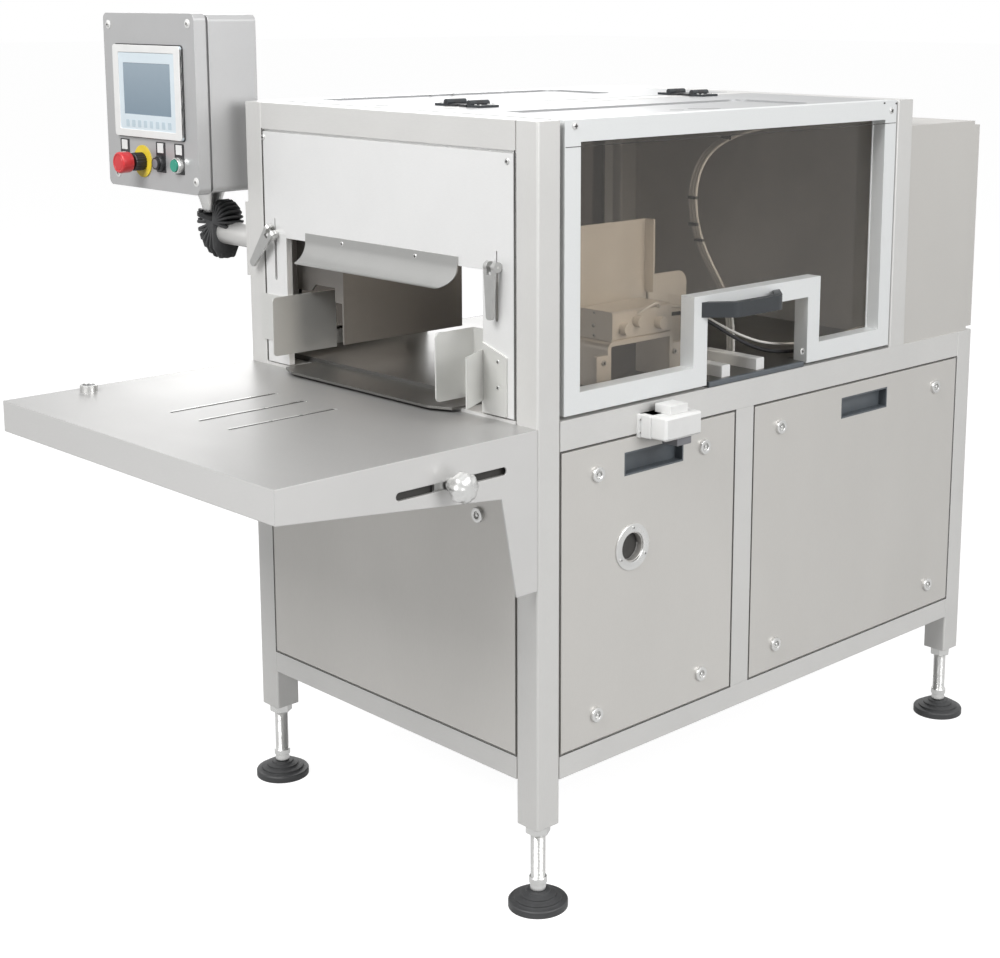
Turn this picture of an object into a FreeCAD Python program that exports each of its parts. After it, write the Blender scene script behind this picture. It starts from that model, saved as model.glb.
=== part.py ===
import FreeCAD, Part
import math
import os
import re

import Sketcher
from FreeCAD import Rotation, Vector

# A case packer: a tubular steel frame on levelling feet, a closed base, a glazed upper guard with
# two gull-wing hoods, a folded infeed table in front and an operator box on an arm at the left.
# All lengths are millimetres. While modelling, X = 0 is the middle of the frame, Y = 0 its front
# face and Z = 0 the floor; originX and originY then bring the middle of the whole to the origin.

doc = FreeCAD.newDocument("CasePacker")
sheet = doc.addObject("Spreadsheet::Sheet", "Sizes")

drivingSizes = [
    ("frameWidth", 768, "frame across, over the posts"),
    ("lowerDepth", 1225, "base from front to back"),
    ("upperDepth", 988, "guard from front to back"),
    ("tube", 50, "square frame tube"),
    ("tubeRound", 4, "outer corner radius of a post"),
    ("legBottom", 146, "lower end of the posts"),
    ("railBottom", 222, "underside of the base rails"),
    ("baseRailTall", 40, "base rail height"),
    ("middleTop", 825, "top of the base frame"),
    ("middleTall", 50, "height of the rails round the base's top"),
    ("roofTop", 1298, "top of the guard"),
    ("beamTall", 47, "roof beam height"),
    ("mullionPlace", 481, "front of the side mullion"),
    ("footInset", 25, "foot axis from the frame's outer faces"),
    ("padRadius", 50, "foot pad radius"),
    ("padTall", 40, "foot pad height"),
    ("spindleRadius", 8, "levelling spindle radius"),
    ("nutRadius", 17, "lock nut radius"),
    ("nutTall", 20, "lock nut height"),
    ("panelGap", 3, "shadow gap round a cover panel"),
    ("panelFront", 6, "depth of a panel's face sheet"),
    ("panelLip", 4, "thickness of the lip behind the face"),
    ("lockRadius", 12, "quarter-turn lock radius"),
    ("lockProud", 3, "lock head above the panel"),
    ("lockSlot", 3, "driver slot of a lock"),
    ("lockLow", 311, "height of the lower locks"),
    ("lockHigh", 724, "height of the upper locks"),
    ("lockInsetFront", 84, "locks from the ends of the front side panel"),
    ("lockInsetRear", 76, "locks from the ends of the rear side panel"),
    ("frontLockPlace", 245, "front panel lock from the middle"),
    ("frontLockHigh", 654, "height of the front panel locks"),
    ("pullLong", 146, "recessed pull length"),
    ("pullTall", 40, "recessed pull height"),
    ("pullDeep", 20, "recessed pull depth"),
    ("pullWall", 3, "recessed pull wall"),
    ("pullLow", 708, "underside of the pulls"),
    ("frontPullPlace", 198, "start of the front side panel's pull"),
    ("rearPullPlace", 790, "start of the rear side panel's pull"),
    ("portPlace", 218, "port centre from the front"),
    ("portHigh", 583, "port centre height"),
    ("portRadius", 40, "port flange radius"),
    ("portBore", 24, "port bore radius"),
    ("portFlange", 4, "port flange thickness"),
    ("portCollar", 32, "port collar radius"),
    ("portProud", 12, "port collar above the panel"),
    ("deckThick", 10, "deck plate"),
    ("deckEdge", 10, "how far the deck lies on the rails"),
    ("stripThick", 6, "edge strip of the deck"),
    ("stripRound", 3, "rounded outer edges of the strip"),
    ("slideBarTall", 21, "height of the white slide bars"),
    ("slideBarEnd", 372, "outer end of the slide bars from the middle"),
    ("slideBarInner", 245, "inner end of the slide bars from the middle"),
    ("slideBarFront", 455, "front slide bar from the front"),
    ("slideBarRear", 549, "rear slide bar from the front"),
    ("slideBarWide", 22, "slide bars along the machine"),
    ("slideBarRound", 3, "slide bar edge radius"),
    ("spineHalf", 26, "half width of the roof spine"),
    ("spineTall", 40, "roof spine height"),
    ("cabinetDepth", 218, "rear cabinet depth"),
    ("cabinetTop", 1248, "rear cabinet height"),
    ("cabinetInset", 2, "rear cabinet inside the frame's sides"),
    ("doorThick", 18, "rear cabinet door"),
    ("doorInset", 8, "door edge inside the cabinet's top and bottom"),
    ("hoodGap", 5, "running gap round a hood"),
    ("hoodDeep", 30, "hood profile depth"),
    ("hoodProfile", 35, "hood profile width"),
    ("hoodLow", 831, "underside of a hood"),
    ("hoodSeal", 8, "gap at the front stile of a hood"),
    ("notchFront", 401, "front of the hood's notch"),
    ("notchBack", 679, "back of the hood's notch"),
    ("notchTop", 953, "top of the hood's notch"),
    ("lidInner", 33, "inner edge of a hood's roof half from the middle"),
    ("lidRecess", 3, "step round the lid's inner sheet"),
    ("lidSkin", 6, "lid sheet"),
    ("glassThick", 4, "hood window"),
    ("glassLap", 5, "window behind the profile"),
    ("hingePlace", 30, "hinge axis from the middle"),
    ("hingeLift", 6, "hinge axis above the roof"),
    ("frontHinge", 175, "front hinges from the front"),
    ("rearHinge", 753, "rear hinges from the front"),
    ("hingeLong", 44, "hinge length"),
    ("knuckleRadius", 6, "hinge knuckle radius"),
    ("pinRadius", 3, "hinge pin radius"),
    ("pinPlay", 0.1, "running clearance at pins"),
    ("leafWide", 26, "hinge leaf width"),
    ("leafThick", 4, "hinge leaf thickness"),
    ("handlePlace", 385, "front foot of the hood handle"),
    ("handleLong", 210, "hood handle length"),
    ("handleSweep", 46, "how far the handle's feet lean along the hood"),
    ("handleOuterRound", 26, "outer radius of the handle's bends"),
    ("handleInnerRound", 14, "inner radius of the handle's bends"),
    ("handleReach", 44, "hood handle from the hood"),
    ("handleThick", 14, "hood handle section"),
    ("handleTall", 26, "hood handle height"),
    ("handleLow", 951, "underside of the hood handle"),
    ("coverGap", 4, "gap round the front cover"),
    ("coverFace", 6, "front cover face depth"),
    ("coverLip", 6, "front cover lip depth"),
    ("coverRise", 2, "front cover above the base frame"),
    ("mouthLeft", 267, "infeed mouth, left of the middle"),
    ("mouthRight", 258, "infeed mouth, right of the middle"),
    ("mouthTop", 1059, "top of the infeed mouth"),
    ("deflectorLeft", 206, "deflector, left of the middle"),
    ("deflectorRight", 200, "deflector, right of the middle"),
    ("deflectorTop", 1074, "top of the deflector"),
    ("deflectorFlat", 14, "flat part of the deflector"),
    ("deflectorCurl", 38, "inner radius of the deflector's flare"),
    ("deflectorTurn", 70, "turn of the deflector's flare, degrees"),
    ("deflectorCorner", 30, "round of the deflector's lower right corner"),
    ("sheetThick", 3, "bent sheet"),
    ("guideLow", 848, "underside of the carton guides"),
    ("guideTall", 107, "height of the left guide"),
    ("guideReach", 35, "left guide in front of the cover"),
    ("guideBack", 106, "left guide behind the cover"),
    ("guideRound", 8, "rounded corners of the guides"),
    ("guideFoot", 79, "left guide's flange on the cover"),
    ("guideFootLow", 867, "underside of the left guide's flange"),
    ("guideFootTall", 85, "height of the left guide's flange"),
    ("wingLow", 828, "underside of the right guide's flange"),
    ("wingFoot", 58, "right guide's flange on the cover"),
    ("wingFootTall", 115, "height of the right guide's flange at the mouth"),
    ("wingFootSlope", 18, "how much the flange is lower at its outer side"),
    ("wingTall", 83, "height of the right guide's wing"),
    ("wingReach", 66, "right guide's wing in front of the cover"),
    ("wingFlare", 32, "how far the wing flares out"),
    ("railPlace", 219, "inner carton rail, right of the middle"),
    ("railReach", 68, "inner carton rail in front of the cover"),
    ("railTall", 112, "height of the inner carton rail"),
    ("railSeat", 15, "inner carton rail's foot behind the cover's leg"),
    ("lipLeft", 250, "tray lip, left of the middle"),
    ("lipRight", 204, "tray lip, right of the middle"),
    ("lipReach", 38, "tray lip in front of the frame"),
    ("lipCorner", 18, "tray lip corner, along the table"),
    ("lipCornerWide", 40, "tray lip corner, across the table"),
    ("lipThick", 4, "tray lip sheet"),
    ("innerPlate", 166, "inner carton plate, left of the middle"),
    ("innerFront", 45, "front of the inner plate"),
    ("innerBack", 325, "back of the inner plate"),
    ("innerLow", 873, "underside of the inner plate"),
    ("innerThick", 4, "inner carton plate"),
    ("flangeOuter", 298, "outer edge of the inner plate's flange from the middle"),
    ("flangeTop", 1110, "top of the inner plate's flange"),
    ("flangeLow", 959, "underside of the inner plate's flange"),
    ("flangeNotch", 14, "notch in the flange's underside"),
    ("flangeNotchStart", 41, "notch from the flange's outer edge"),
    ("flangeLeg", 20, "leg of the flange beside the inner plate"),
    ("flangeLegLow", 947, "underside of the flange's leg"),
    ("tableTop", 820, "infeed table height"),
    ("tableDepth", 498, "infeed table from the frame"),
    ("tableSheet", 3, "infeed table sheet"),
    ("skirtTall", 52, "front skirt of the table"),
    ("gussetDrop", 97, "side skirt depth at the gusset"),
    ("gussetLow", 557, "underside of the gusset"),
    ("gussetWide", 45, "gusset along the post, at its foot"),
    ("gussetTopWide", 76, "gusset along the post, at its top"),
    ("slotFront", 285, "front of the clamp slot"),
    ("slotBack", 66, "back of the clamp slot"),
    ("slotHigh", 767, "height of the clamp slot"),
    ("slotWide", 13, "clamp slot width"),
    ("slitFront", 345, "front of the top slits"),
    ("slitBack", 138, "back of the top slits"),
    ("slitWide", 3, "top slit width"),
    ("slitPlace", -33, "middle slit from the middle"),
    ("slitPitch", 82, "distance between slits"),
    ("clampPlace", 179, "clamp knob from the frame"),
    ("studRadius", 5, "clamp stud radius"),
    ("slideGap", 0.3, "running gap of sliding faces"),
    ("clampPlateLong", 60, "clamp plate length"),
    ("clampPlateTall", 30, "clamp plate height"),
    ("clampPlateThick", 6, "clamp plate thickness"),
    ("knobRadius", 24, "clamp knob radius"),
    ("knobReach", 44, "clamp knob from the skirt"),
    ("knobNeck", 11, "clamp knob neck radius"),
    ("boreDeep", 18, "blind bore of the knob"),
    ("sensorPlace", 358, "round sensor from the frame"),
    ("sensorSide", 34, "round sensor from the table's left side"),
    ("sensorRadius", 15, "round sensor radius"),
    ("sensorTall", 10, "round sensor height"),
    ("plugFront", 226, "rectangular connector, front end"),
    ("plugLong", 108, "rectangular connector length"),
    ("plugTall", 40, "rectangular connector height"),
    ("plugReach", 58, "rectangular connector from the rail"),
    ("plugBase", 26, "connector housing on the rail"),
    ("plugLatch", 9, "connector housing past its hood, each end"),
    ("plugLow", 769, "underside of the connector"),
    ("glandRadius", 13, "gland under the connector hood"),
    ("glandTall", 26, "gland length"),
    ("boxWide", 308, "operator box width"),
    ("boxTall", 324, "operator box height"),
    ("boxLow", 1130, "underside of the operator box"),
    ("boxLeft", 718, "left side of the operator box from the middle"),
    ("boxFront", 85, "operator box lid in front of the frame"),
    ("boxBack", 48, "back of the operator box behind the frame's front"),
    ("boxLid", 25, "operator box lid depth"),
    ("boxSeal", 6, "seal groove behind the lid"),
    ("boxSealInset", 7, "depth of the seal groove"),
    ("boxBodyInset", 2, "box body inside the lid"),
    ("boxRound", 12, "operator box corner radius"),
    ("bezelWide", 228, "touch panel width"),
    ("bezelTall", 170, "touch panel height"),
    ("bezelLow", 1226, "underside of the touch panel"),
    ("bezelThick", 6, "touch panel thickness"),
    ("bezelRound", 6, "touch panel corner radius"),
    ("screenWide", 160, "screen width"),
    ("screenTall", 95, "screen height"),
    ("screenLow", 1268, "underside of the screen"),
    ("screenThick", 1, "screen above the touch panel's recess"),
    ("deviceHigh", 1181, "height of the push buttons"),
    ("devicePitch", 62, "distance between push buttons"),
    ("ringRadius", 14.5, "push button ring radius"),
    ("ringProud", 5, "push button ring"),
    ("capRadius", 11, "push button cap radius"),
    ("capProud", 14, "push button cap from the lid"),
    ("capTravel", 3, "push button travel"),
    ("wellFloor", 1, "floor of a push button ring"),
    ("capPlay", 0.4, "gap round a push button cap"),
    ("discRadius", 30, "yellow disc radius"),
    ("discThick", 2, "yellow disc thickness"),
    ("collarRadius", 17, "emergency stop collar radius"),
    ("collarProud", 24, "emergency stop collar"),
    ("stopRadius", 20, "emergency stop head radius"),
    ("stopTall", 24, "emergency stop head height"),
    ("stopStem", 8, "emergency stop stem radius"),
    ("stopTravel", 6, "gap under the emergency stop head"),
    ("neckPlace", 541, "operator box swivel axis, left of the middle"),
    ("armPlace", 25, "arm axis behind the frame's front face"),
    ("armHigh", 1047, "arm axis height"),
    ("armRadius", 22, "arm tube radius"),
    ("flangeTall", 136, "arm flange height"),
    ("flangeWide", 46, "arm flange width"),
    ("flangeThick", 10, "arm flange thickness"),
    ("flangeBevel", 6, "arm flange bevel"),
    ("bootBend", 46, "boot bend radius"),
    ("bootCore", 20, "boot core radius"),
    ("bootFin", 28, "boot fin radius"),
    ("bootFins", 7, "number of boot fins"),
    ("finThick", 4, "boot fin thickness"),
    ("coneTop", 26, "neck cone radius at the box"),
    ("coneFoot", 18, "neck cone radius at the boot"),
    ("swivelGap", 0.3, "running gap under the operator box"),
    ("leverHigh", 1068, "height of the cover levers"),
    ("leverRight", 291, "right lever from the middle"),
    ("leverLeft", 300, "left lever from the middle"),
    ("leverTurn", 40, "turn of the left lever about its stud, degrees"),
    ("leverLong", 84, "lever length from its pin"),
    ("leverWide", 26, "lever width at the head"),
    ("leverTip", 14, "lever width at the tip"),
    ("leverThick", 5, "lever thickness"),
    ("leverInset", 0.8, "lever's face behind the front of its ears"),
    ("leverRib", 3, "rib behind the lever"),
    ("leverRibWide", 4, "rib width"),
    ("leverCorner", 5, "rounded corners of the lever's tip"),
    ("leverPin", 9, "lever pin in front of the cover"),
    ("crossPin", 2, "lever cross pin radius"),
    ("leverStud", 3, "cover stud radius"),
    ("leverSlot", 10, "slot in the lever's head"),
    ("studSlotPlay", 0.5, "cover slot round a stud"),
    ("studSlotDrop", 85, "cover slot below a stud"),
    ("studSlitRise", 24, "narrow slit above a stud"),
    ("studSlitWide", 2.5, "width of the slit above a stud"),
    ("studTabThick", 4, "tab behind the cover that carries a stud"),
    ("studTabTall", 26, "height of that tab"),
    ("blockFace", 304, "cylinder block face from the middle"),
    ("blockWide", 80, "cylinder block across"),
    ("blockFront", 248, "cylinder block front"),
    ("blockLong", 148, "cylinder block along the machine"),
    ("blockBevel", 3, "bevel along the block's long edges"),
    ("blockLow", 916, "cylinder block underside"),
    ("blockTall", 50, "cylinder block height"),
    ("rodRadius", 11, "guide rod radius"),
    ("pistonRadius", 10, "piston radius"),
    ("firstRod", 27, "front guide rod from the block's front"),
    ("pistonPlace", 59, "piston from the block's front"),
    ("lastRod", 114, "rear guide rod from the block's front"),
    ("rodRise", 20, "guide rods above the block's underside"),
    ("pistonRise", 29, "piston above the block's underside"),
    ("rodProud", 14, "guide rod ends outside the block"),
    ("rodGap", 0.1, "guide rod clearance"),
    ("pusherGap", 12, "pusher plate behind the block"),
    ("pusherThick", 4, "pusher plate"),
    ("pusherFront", 230, "pusher plate front"),
    ("pusherBack", 430, "pusher plate back"),
    ("pusherTop", 1102, "pusher plate top"),
    ("pusherRound", 10, "pusher plate corner radius"),
    ("pusherFlange", 24, "pusher plate flange"),
    ("flangeRise", 6, "pusher flange above the block"),
    ("sidePlateFront", 436, "side plate front"),
    ("sidePlateBack", 538, "side plate back"),
    ("sidePlateTop", 1000, "side plate top"),
    ("sidePlateRound", 24, "side plate corner radius"),
    ("bracketThick", 8, "hat bracket sheet"),
    ("bracketFront", 238, "hat bracket front"),
    ("bracketBack", 400, "hat bracket back"),
    ("bracketRound", 14, "outer bend of the hat bracket"),
    ("tabWide", 27, "bolted tab of the hat bracket, along the machine"),
    ("tabTall", 60, "bolted tab of the hat bracket, height"),
    ("lidInsetInner", 160, "inner edge of the lid's inset from the middle"),
    ("lidInsetOuter", 340, "outer edge of the lid's inset from the middle"),
    ("lidInsetFront", 138, "front of the lid's inset"),
    ("lidInsetBack", 735, "back of the lid's inset"),
    ("lidInsetRound", 26, "far corners of the lid's inset"),
]

derivedSizes = [
    ("half", "frameWidth / 2"),
    ("railTop", "railBottom + baseRailTall"),
    ("middleBottom", "middleTop - middleTall"),
    ("beamBottom", "roofTop - beamTall"),
    ("rearPost", "lowerDepth - tube"),
    ("guardPost", "upperDepth - tube"),
    ("mullionEnd", "mullionPlace + tube"),
    ("panelDeep", "panelFront + panelLip"),
    ("deckTop", "middleTop + deckThick"),
    ("hoodFront", "tube + hoodSeal"),
    ("hoodBack", "guardPost - hoodGap"),
    ("hoodLong", "hoodBack - hoodFront"),
    ("hoodInner", "half - hoodDeep"),
    ("glassFront", "hoodFront + hoodProfile"),
    ("glassBack", "hoodBack - hoodProfile"),
    ("glassLow", "hoodLow + hoodProfile"),
    ("glassTop", "roofTop - hoodProfile"),
    ("surroundFront", "notchFront - hoodProfile"),
    ("surroundBack", "notchBack + hoodProfile"),
    ("surroundTop", "notchTop + hoodProfile"),
    ("hingeHigh", "roofTop + hingeLift"),
    ("cabinetBack", "upperDepth + cabinetDepth"),
    ("boxMiddle", "boxLeft - boxWide / 2"),
    ("boxTop", "boxLow + boxTall"),
    ("blockBack", "blockFace - blockWide"),
    ("deflectorLow", "deflectorTop - deflectorFlat - (deflectorCurl + sheetThick) * sin(deflectorTurn)"),
    ("coverBackFace", "coverFace + coverLip"),
    ("pusherFace", "blockBack - pusherGap"),
    ("rightReach", "max(plugReach; handleReach; knobReach + slideGap)"),
    ("camRadius", "leverPin - slideGap"),
    ("rearReach", "max(lowerDepth - footInset + padRadius; cabinetBack + doorThick)"),
    ("originX", "(boxLeft - half - rightReach) / 2"),
    ("originY", "(tableDepth - rearReach) / 2"),
]

for row, (alias, value, note) in enumerate(drivingSizes, start=1):
    sheet.set(f"A{row}", note)
    sheet.set(f"B{row}", str(value))
    sheet.setAlias(f"B{row}", alias)
for row, (alias, formula) in enumerate(derivedSizes, start=len(drivingSizes) + 2):
    sheet.set(f"B{row}", f"={formula}")
    sheet.setAlias(f"B{row}", alias)
doc.recompute()

sizeNames = {entry[0] for entry in drivingSizes} | {entry[0] for entry in derivedSizes}
nodes = []


def size(alias):
    return float(sheet.get(alias))


def formula(text):
    """The same formula with every size looked up in the sheet."""
    return re.sub(
        r"[A-Za-z_]\w*",
        lambda word: f"Sizes.{word.group()}" if word.group() in sizeNames else word.group(),
        str(text),
    )


def bind(thing, field, text):
    thing.setExpression(field, formula(text))


def placeAt(thing, corner):
    for axis, text in zip("xyz", corner):
        bind(thing, f".Placement.Base.{axis}", text)


def box(name, corner, extent):
    """A block from its low corner and its three lengths."""
    block = doc.addObject("Part::Box", name)
    for field, text in zip(("Length", "Width", "Height"), extent):
        bind(block, field, text)
    placeAt(block, corner)
    return block


axisX = Vector(1, 0, 0)
axisY = Vector(0, 1, 0)
axisZ = Vector(0, 0, 1)
directions = {
    "+X": Rotation(axisY, 90),
    "-X": Rotation(axisY, -90),
    "+Y": Rotation(axisX, -90),
    "-Y": Rotation(axisX, 90),
    "+Z": Rotation(),
    "-Z": Rotation(axisX, 180),
}


def rod(name, start, radius, length, direction="+Z"):
    """A round bar from the middle of its first end."""
    bar = doc.addObject("Part::Cylinder", name)
    bar.Placement.Rotation = directions[direction]
    bind(bar, "Radius", radius)
    bind(bar, "Height", length)
    placeAt(bar, start)
    return bar


def taper(name, start, firstRadius, lastRadius, length, direction="+Z"):
    cone = doc.addObject("Part::Cone", name)
    cone.Placement.Rotation = directions[direction]
    bind(cone, "Radius1", firstRadius)
    bind(cone, "Radius2", lastRadius)
    bind(cone, "Height", length)
    placeAt(cone, start)
    return cone


def cut(name, base, tools):
    """The base with every tool taken out of it."""
    result = base
    for number, tool in enumerate(tools, start=1):
        step = doc.addObject("Part::Cut", f"{name}Cut{number}")
        step.Base = result
        step.Tool = tool
        result = step
    return result


def fuse(name, pieces):
    joined = doc.addObject("Part::MultiFuse", f"{name}Joined")
    joined.Shapes = pieces
    return joined


def mirror(name, source):
    """The same piece on the other side of the machine's middle."""
    image = doc.addObject("Part::Mirroring", f"{name}Mirror")
    image.Source = source
    image.Base = Vector(0, 0, 0)
    image.Normal = Vector(1, 0, 0)
    return image


def planeOf(body, role):
    for feature in body.Origin.OriginFeatures:
        if feature.Role == role:
            return feature


def drawLoop(sketch, points):
    """A closed loop of straight lines whose corners are held by formulas."""
    first = sketch.GeometryCount
    count = len(points)
    ring = [
        Vector(math.cos(2 * math.pi * index / count), math.sin(2 * math.pi * index / count), 0)
        for index in range(count)
    ]
    for index in range(count):
        sketch.addGeometry(Part.LineSegment(ring[index], ring[(index + 1) % count]), False)
    for index in range(count):
        here = first + index
        following = first + (index + 1) % count
        sketch.addConstraint(Sketcher.Constraint("Coincident", here, 2, following, 1))
    for index, corner in enumerate(points):
        for kind, start, text in zip(("DistanceX", "DistanceY"), ring[index], corner):
            number = sketch.addConstraint(Sketcher.Constraint(kind, -1, 1, first + index, 1, start))
            bind(sketch, f"Constraints[{number}]", text)


def outlineSketch(body, name, plane, loops, level="0"):
    """Loops drawn on one of the body's own planes, level along the plane's normal."""
    sketch = body.newObject("Sketcher::SketchObject", f"{name}Sketch")
    sketch.AttachmentSupport = [(planeOf(body, plane), "")]
    sketch.MapMode = "FlatFace"
    bind(sketch, ".AttachmentOffset.Base.z", level)
    for loop in loops:
        drawLoop(sketch, loop)
    return sketch


def plate(name, plane, loops, level, thickness):
    """A sheet or bar padded from an outline; further loops are its holes."""
    body = doc.addObject("PartDesign::Body", f"{name}Body")
    pad = body.newObject("PartDesign::Pad", f"{name}Pad")
    pad.Profile = outlineSketch(body, name, plane, loops, level)
    bind(pad, "Length", thickness)
    return body


def turned(name, loop):
    """A round piece about its own Z axis, from half of its section."""
    body = doc.addObject("PartDesign::Body", f"{name}Body")
    sketch = outlineSketch(body, name, "XZ_Plane", [loop])
    spin = body.newObject("PartDesign::Revolution", f"{name}Turned")
    spin.Profile = sketch
    spin.ReferenceAxis = (sketch, ["V_Axis"])
    spin.Angle = 360
    return body


def longEdges(feature, axis, keep):
    """Names of the straight edges that run along an axis and whose middles are wanted."""
    chosen = []
    for number, edge in enumerate(feature.Shape.Edges, start=1):
        ends = [vertex.Point for vertex in edge.Vertexes]
        if len(ends) < 2:
            continue
        run = (ends[1] - ends[0]).normalize()
        if abs(run.dot(axis)) > 0.999 and keep(edge.CenterOfMass):
            chosen.append(f"Edge{number}")
    return chosen


def roundEdges(body, name, axis, radius, keep=lambda middle: True):
    """Fillet the straight edges of the body's tip that run along an axis."""
    doc.recompute()
    tip = body.Tip
    fillet = body.newObject("PartDesign::Fillet", f"{name}Round")
    fillet.Base = (tip, longEdges(tip, axis, keep))
    bind(fillet, "Radius", radius)
    return fillet


def bevelEdges(body, name, axis, wide):
    doc.recompute()
    tip = body.Tip
    chamfer = body.newObject("PartDesign::Chamfer", f"{name}Bevel")
    chamfer.Base = (tip, longEdges(tip, axis, lambda middle: True))
    bind(chamfer, "Size", wide)
    return chamfer


def post(name, corner, extent):
    """A square tube with rounded long edges."""
    x, y, z = corner
    wide, deep, tall = extent
    loop = [(x, y), (f"{x} + {wide}", y), (f"{x} + {wide}", f"{y} + {deep}"), (x, f"{y} + {deep}")]
    body = plate(name, "XY_Plane", [loop], z, tall)
    roundEdges(body, name, axisZ, "tubeRound")
    return body


def node(name, pieces):
    """One named sub-part of the machine, moved to the finished frame."""
    part = doc.addObject("Part::Compound", name)
    part.Label = name
    part.Links = pieces
    bind(part, ".Placement.Base.x", "originX")
    bind(part, ".Placement.Base.y", "originY")
    nodes.append(part)
    return part


sides = {"Left": "-half", "Right": "half - tube"}

# Frame: four base posts, two of them running up to the roof, and two short guard posts behind.
posts = []
postPlaces = {
    "frontPost": ("0", "legBottom", "roofTop"),
    "rearPost": ("rearPost", "legBottom", "middleTop"),
    "guardPost": ("guardPost", "middleTop", "roofTop"),
}
for side, x in sides.items():
    for name, (y, low, high) in postPlaces.items():
        posts.append(post(f"{name}{side}", (x, y, low), ("tube", "tube", f"{high} - {low}")))
node("frame_posts", posts)

rails = []
acrossFrame = "frameWidth - 2 * tube"
for level, low, tall in (("base", "railBottom", "baseRailTall"), ("middle", "middleBottom", "middleTall")):
    for end, y in (("Front", "0"), ("Rear", "rearPost")):
        rails.append(box(f"{level}Rail{end}", ("tube - half", y, low), (acrossFrame, "tube", tall)))
    for side, x in sides.items():
        rails.append(box(f"{level}Rail{side}", (x, "tube", low), ("tube", "lowerDepth - 2 * tube", tall)))
node("frame_rails", rails)

mullions = [
    box(f"mullion{side}", (x, "mullionPlace", "railTop"), ("tube", "tube", "middleBottom - railTop"))
    for side, x in sides.items()
]
node("frame_mullions", mullions)

roofBeams = [
    box(f"roofBeam{end}", ("tube - half", y, "beamBottom"), (acrossFrame, "tube", "beamTall"))
    for end, y in (("Front", "0"), ("Rear", "guardPost"))
]
node("roof_beams", roofBeams)

spineLong = "guardPost - tube"
spineBar = box(
    "spineBar", ("-spineHalf", "tube", "roofTop - spineTall"), ("2 * spineHalf", spineLong, "spineTall")
)
node("roof_spine", [spineBar])


# Feet: a rubber pad, and a spindle with its ball and lock nut.
def foot(name, x, y):
    pad = turned(
        f"{name}Pad",
        [
            ("0", "0"),
            ("padRadius", "0"),
            ("padRadius", "padTall * 0.25"),
            ("padRadius * 0.56", "padTall * 0.85"),
            ("padRadius * 0.44", "padTall"),
            ("0", "padTall"),
        ],
    )
    placeAt(pad, (x, y, "0"))
    stem = rod(f"{name}Stem", (x, y, "padTall"), "spindleRadius", "legBottom - padTall")
    onPad = (x, y, "padTall")
    ball = taper(f"{name}Ball", onPad, "spindleRadius * 1.6", "spindleRadius", "spindleRadius * 1.5")
    nut = rod(f"{name}Nut", (x, y, "legBottom - nutTall"), "nutRadius", "nutTall")
    return pad, fuse(f"{name}Spindle", [stem, ball, nut])


footPads = []
footSpindles = []
for side, x in (("Left", "footInset - half"), ("Right", "half - footInset")):
    for end, y in (("Front", "footInset"), ("Rear", "lowerDepth - footInset")):
        pad, spindle = foot(f"foot{end}{side}", x, y)
        footPads.append(pad)
        footSpindles.append(spindle)
node("foot_pads", footPads)
node("foot_spindles", footSpindles)

# Base covers: face sheets with a shadow gap, and a lip behind that meets the frame.
sidePanels = {
    "Front": ("tube", "mullionPlace", "frontPullPlace", "lockInsetFront"),
    "Rear": ("mullionEnd", "rearPost", "rearPullPlace", "lockInsetRear"),
}
openingTall = "middleBottom - railTop"


def sidePanel(name, start, end, pullPlace):
    face = box(
        f"{name}Face",
        ("half - panelFront", f"{start} + panelGap", "railTop + panelGap"),
        ("panelFront", f"{end} - ({start}) - 2 * panelGap", f"{openingTall} - 2 * panelGap"),
    )
    lip = box(
        f"{name}Lip",
        ("half - panelDeep", start, "railTop"),
        ("panelLip", f"{end} - ({start})", openingTall),
    )
    window = box(
        f"{name}Window",
        ("half - panelDeep - 1", pullPlace, "pullLow"),
        ("panelDeep + 2", "pullLong", "pullTall"),
    )
    return cut(name, fuse(name, [face, lip]), [window])


def recessedPull(name, start):
    cup = box(f"{name}Cup", ("half - pullDeep", start, "pullLow"), ("pullDeep", "pullLong", "pullTall"))
    hollow = box(
        f"{name}Hollow",
        ("half - pullDeep + pullWall", f"{start} + pullWall", "pullLow + pullWall"),
        ("pullDeep", "pullLong - 2 * pullWall", "pullTall - 2 * pullWall"),
    )
    return cut(name, cup, [hollow])


def sideLock(name, place, high):
    head = rod(f"{name}Head", ("half", place, high), "lockRadius", "lockProud", "+X")
    slot = box(
        f"{name}Slot",
        ("half + lockProud / 2", f"{place} - lockRadius", f"{high} - lockSlot / 2"),
        ("lockProud", "2 * lockRadius", "lockSlot"),
    )
    return cut(name, head, [slot])


portStart = ("half - panelDeep - 1", "portPlace", "portHigh")
portHole = rod("portHole", portStart, "portBore", "panelDeep + portProud + 2", "+X")
plainPanels = []
rightPulls = []
rightLocks = []
for end, (start, stop, pullPlace, lockInset) in sidePanels.items():
    plainPanels.append(sidePanel(f"sidePanel{end}", start, stop, pullPlace))
    rightPulls.append(recessedPull(f"pull{end}", pullPlace))
    for place in (f"{start} + {lockInset}", f"{stop} - {lockInset}"):
        for high in ("lockLow", "lockHigh"):
            rightLocks.append(sideLock(f"lock{end}{len(rightLocks)}", place, high))


def endPanel(name, faceY, lipY):
    face = box(
        f"{name}Face",
        ("tube - half + panelGap", faceY, "railTop + panelGap"),
        ("frameWidth - 2 * tube - 2 * panelGap", "panelFront", f"{openingTall} - 2 * panelGap"),
    )
    lip = box(
        f"{name}Lip",
        ("tube - half", lipY, "railTop"),
        ("frameWidth - 2 * tube", "panelLip", openingTall),
    )
    return fuse(name, [face, lip])


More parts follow.
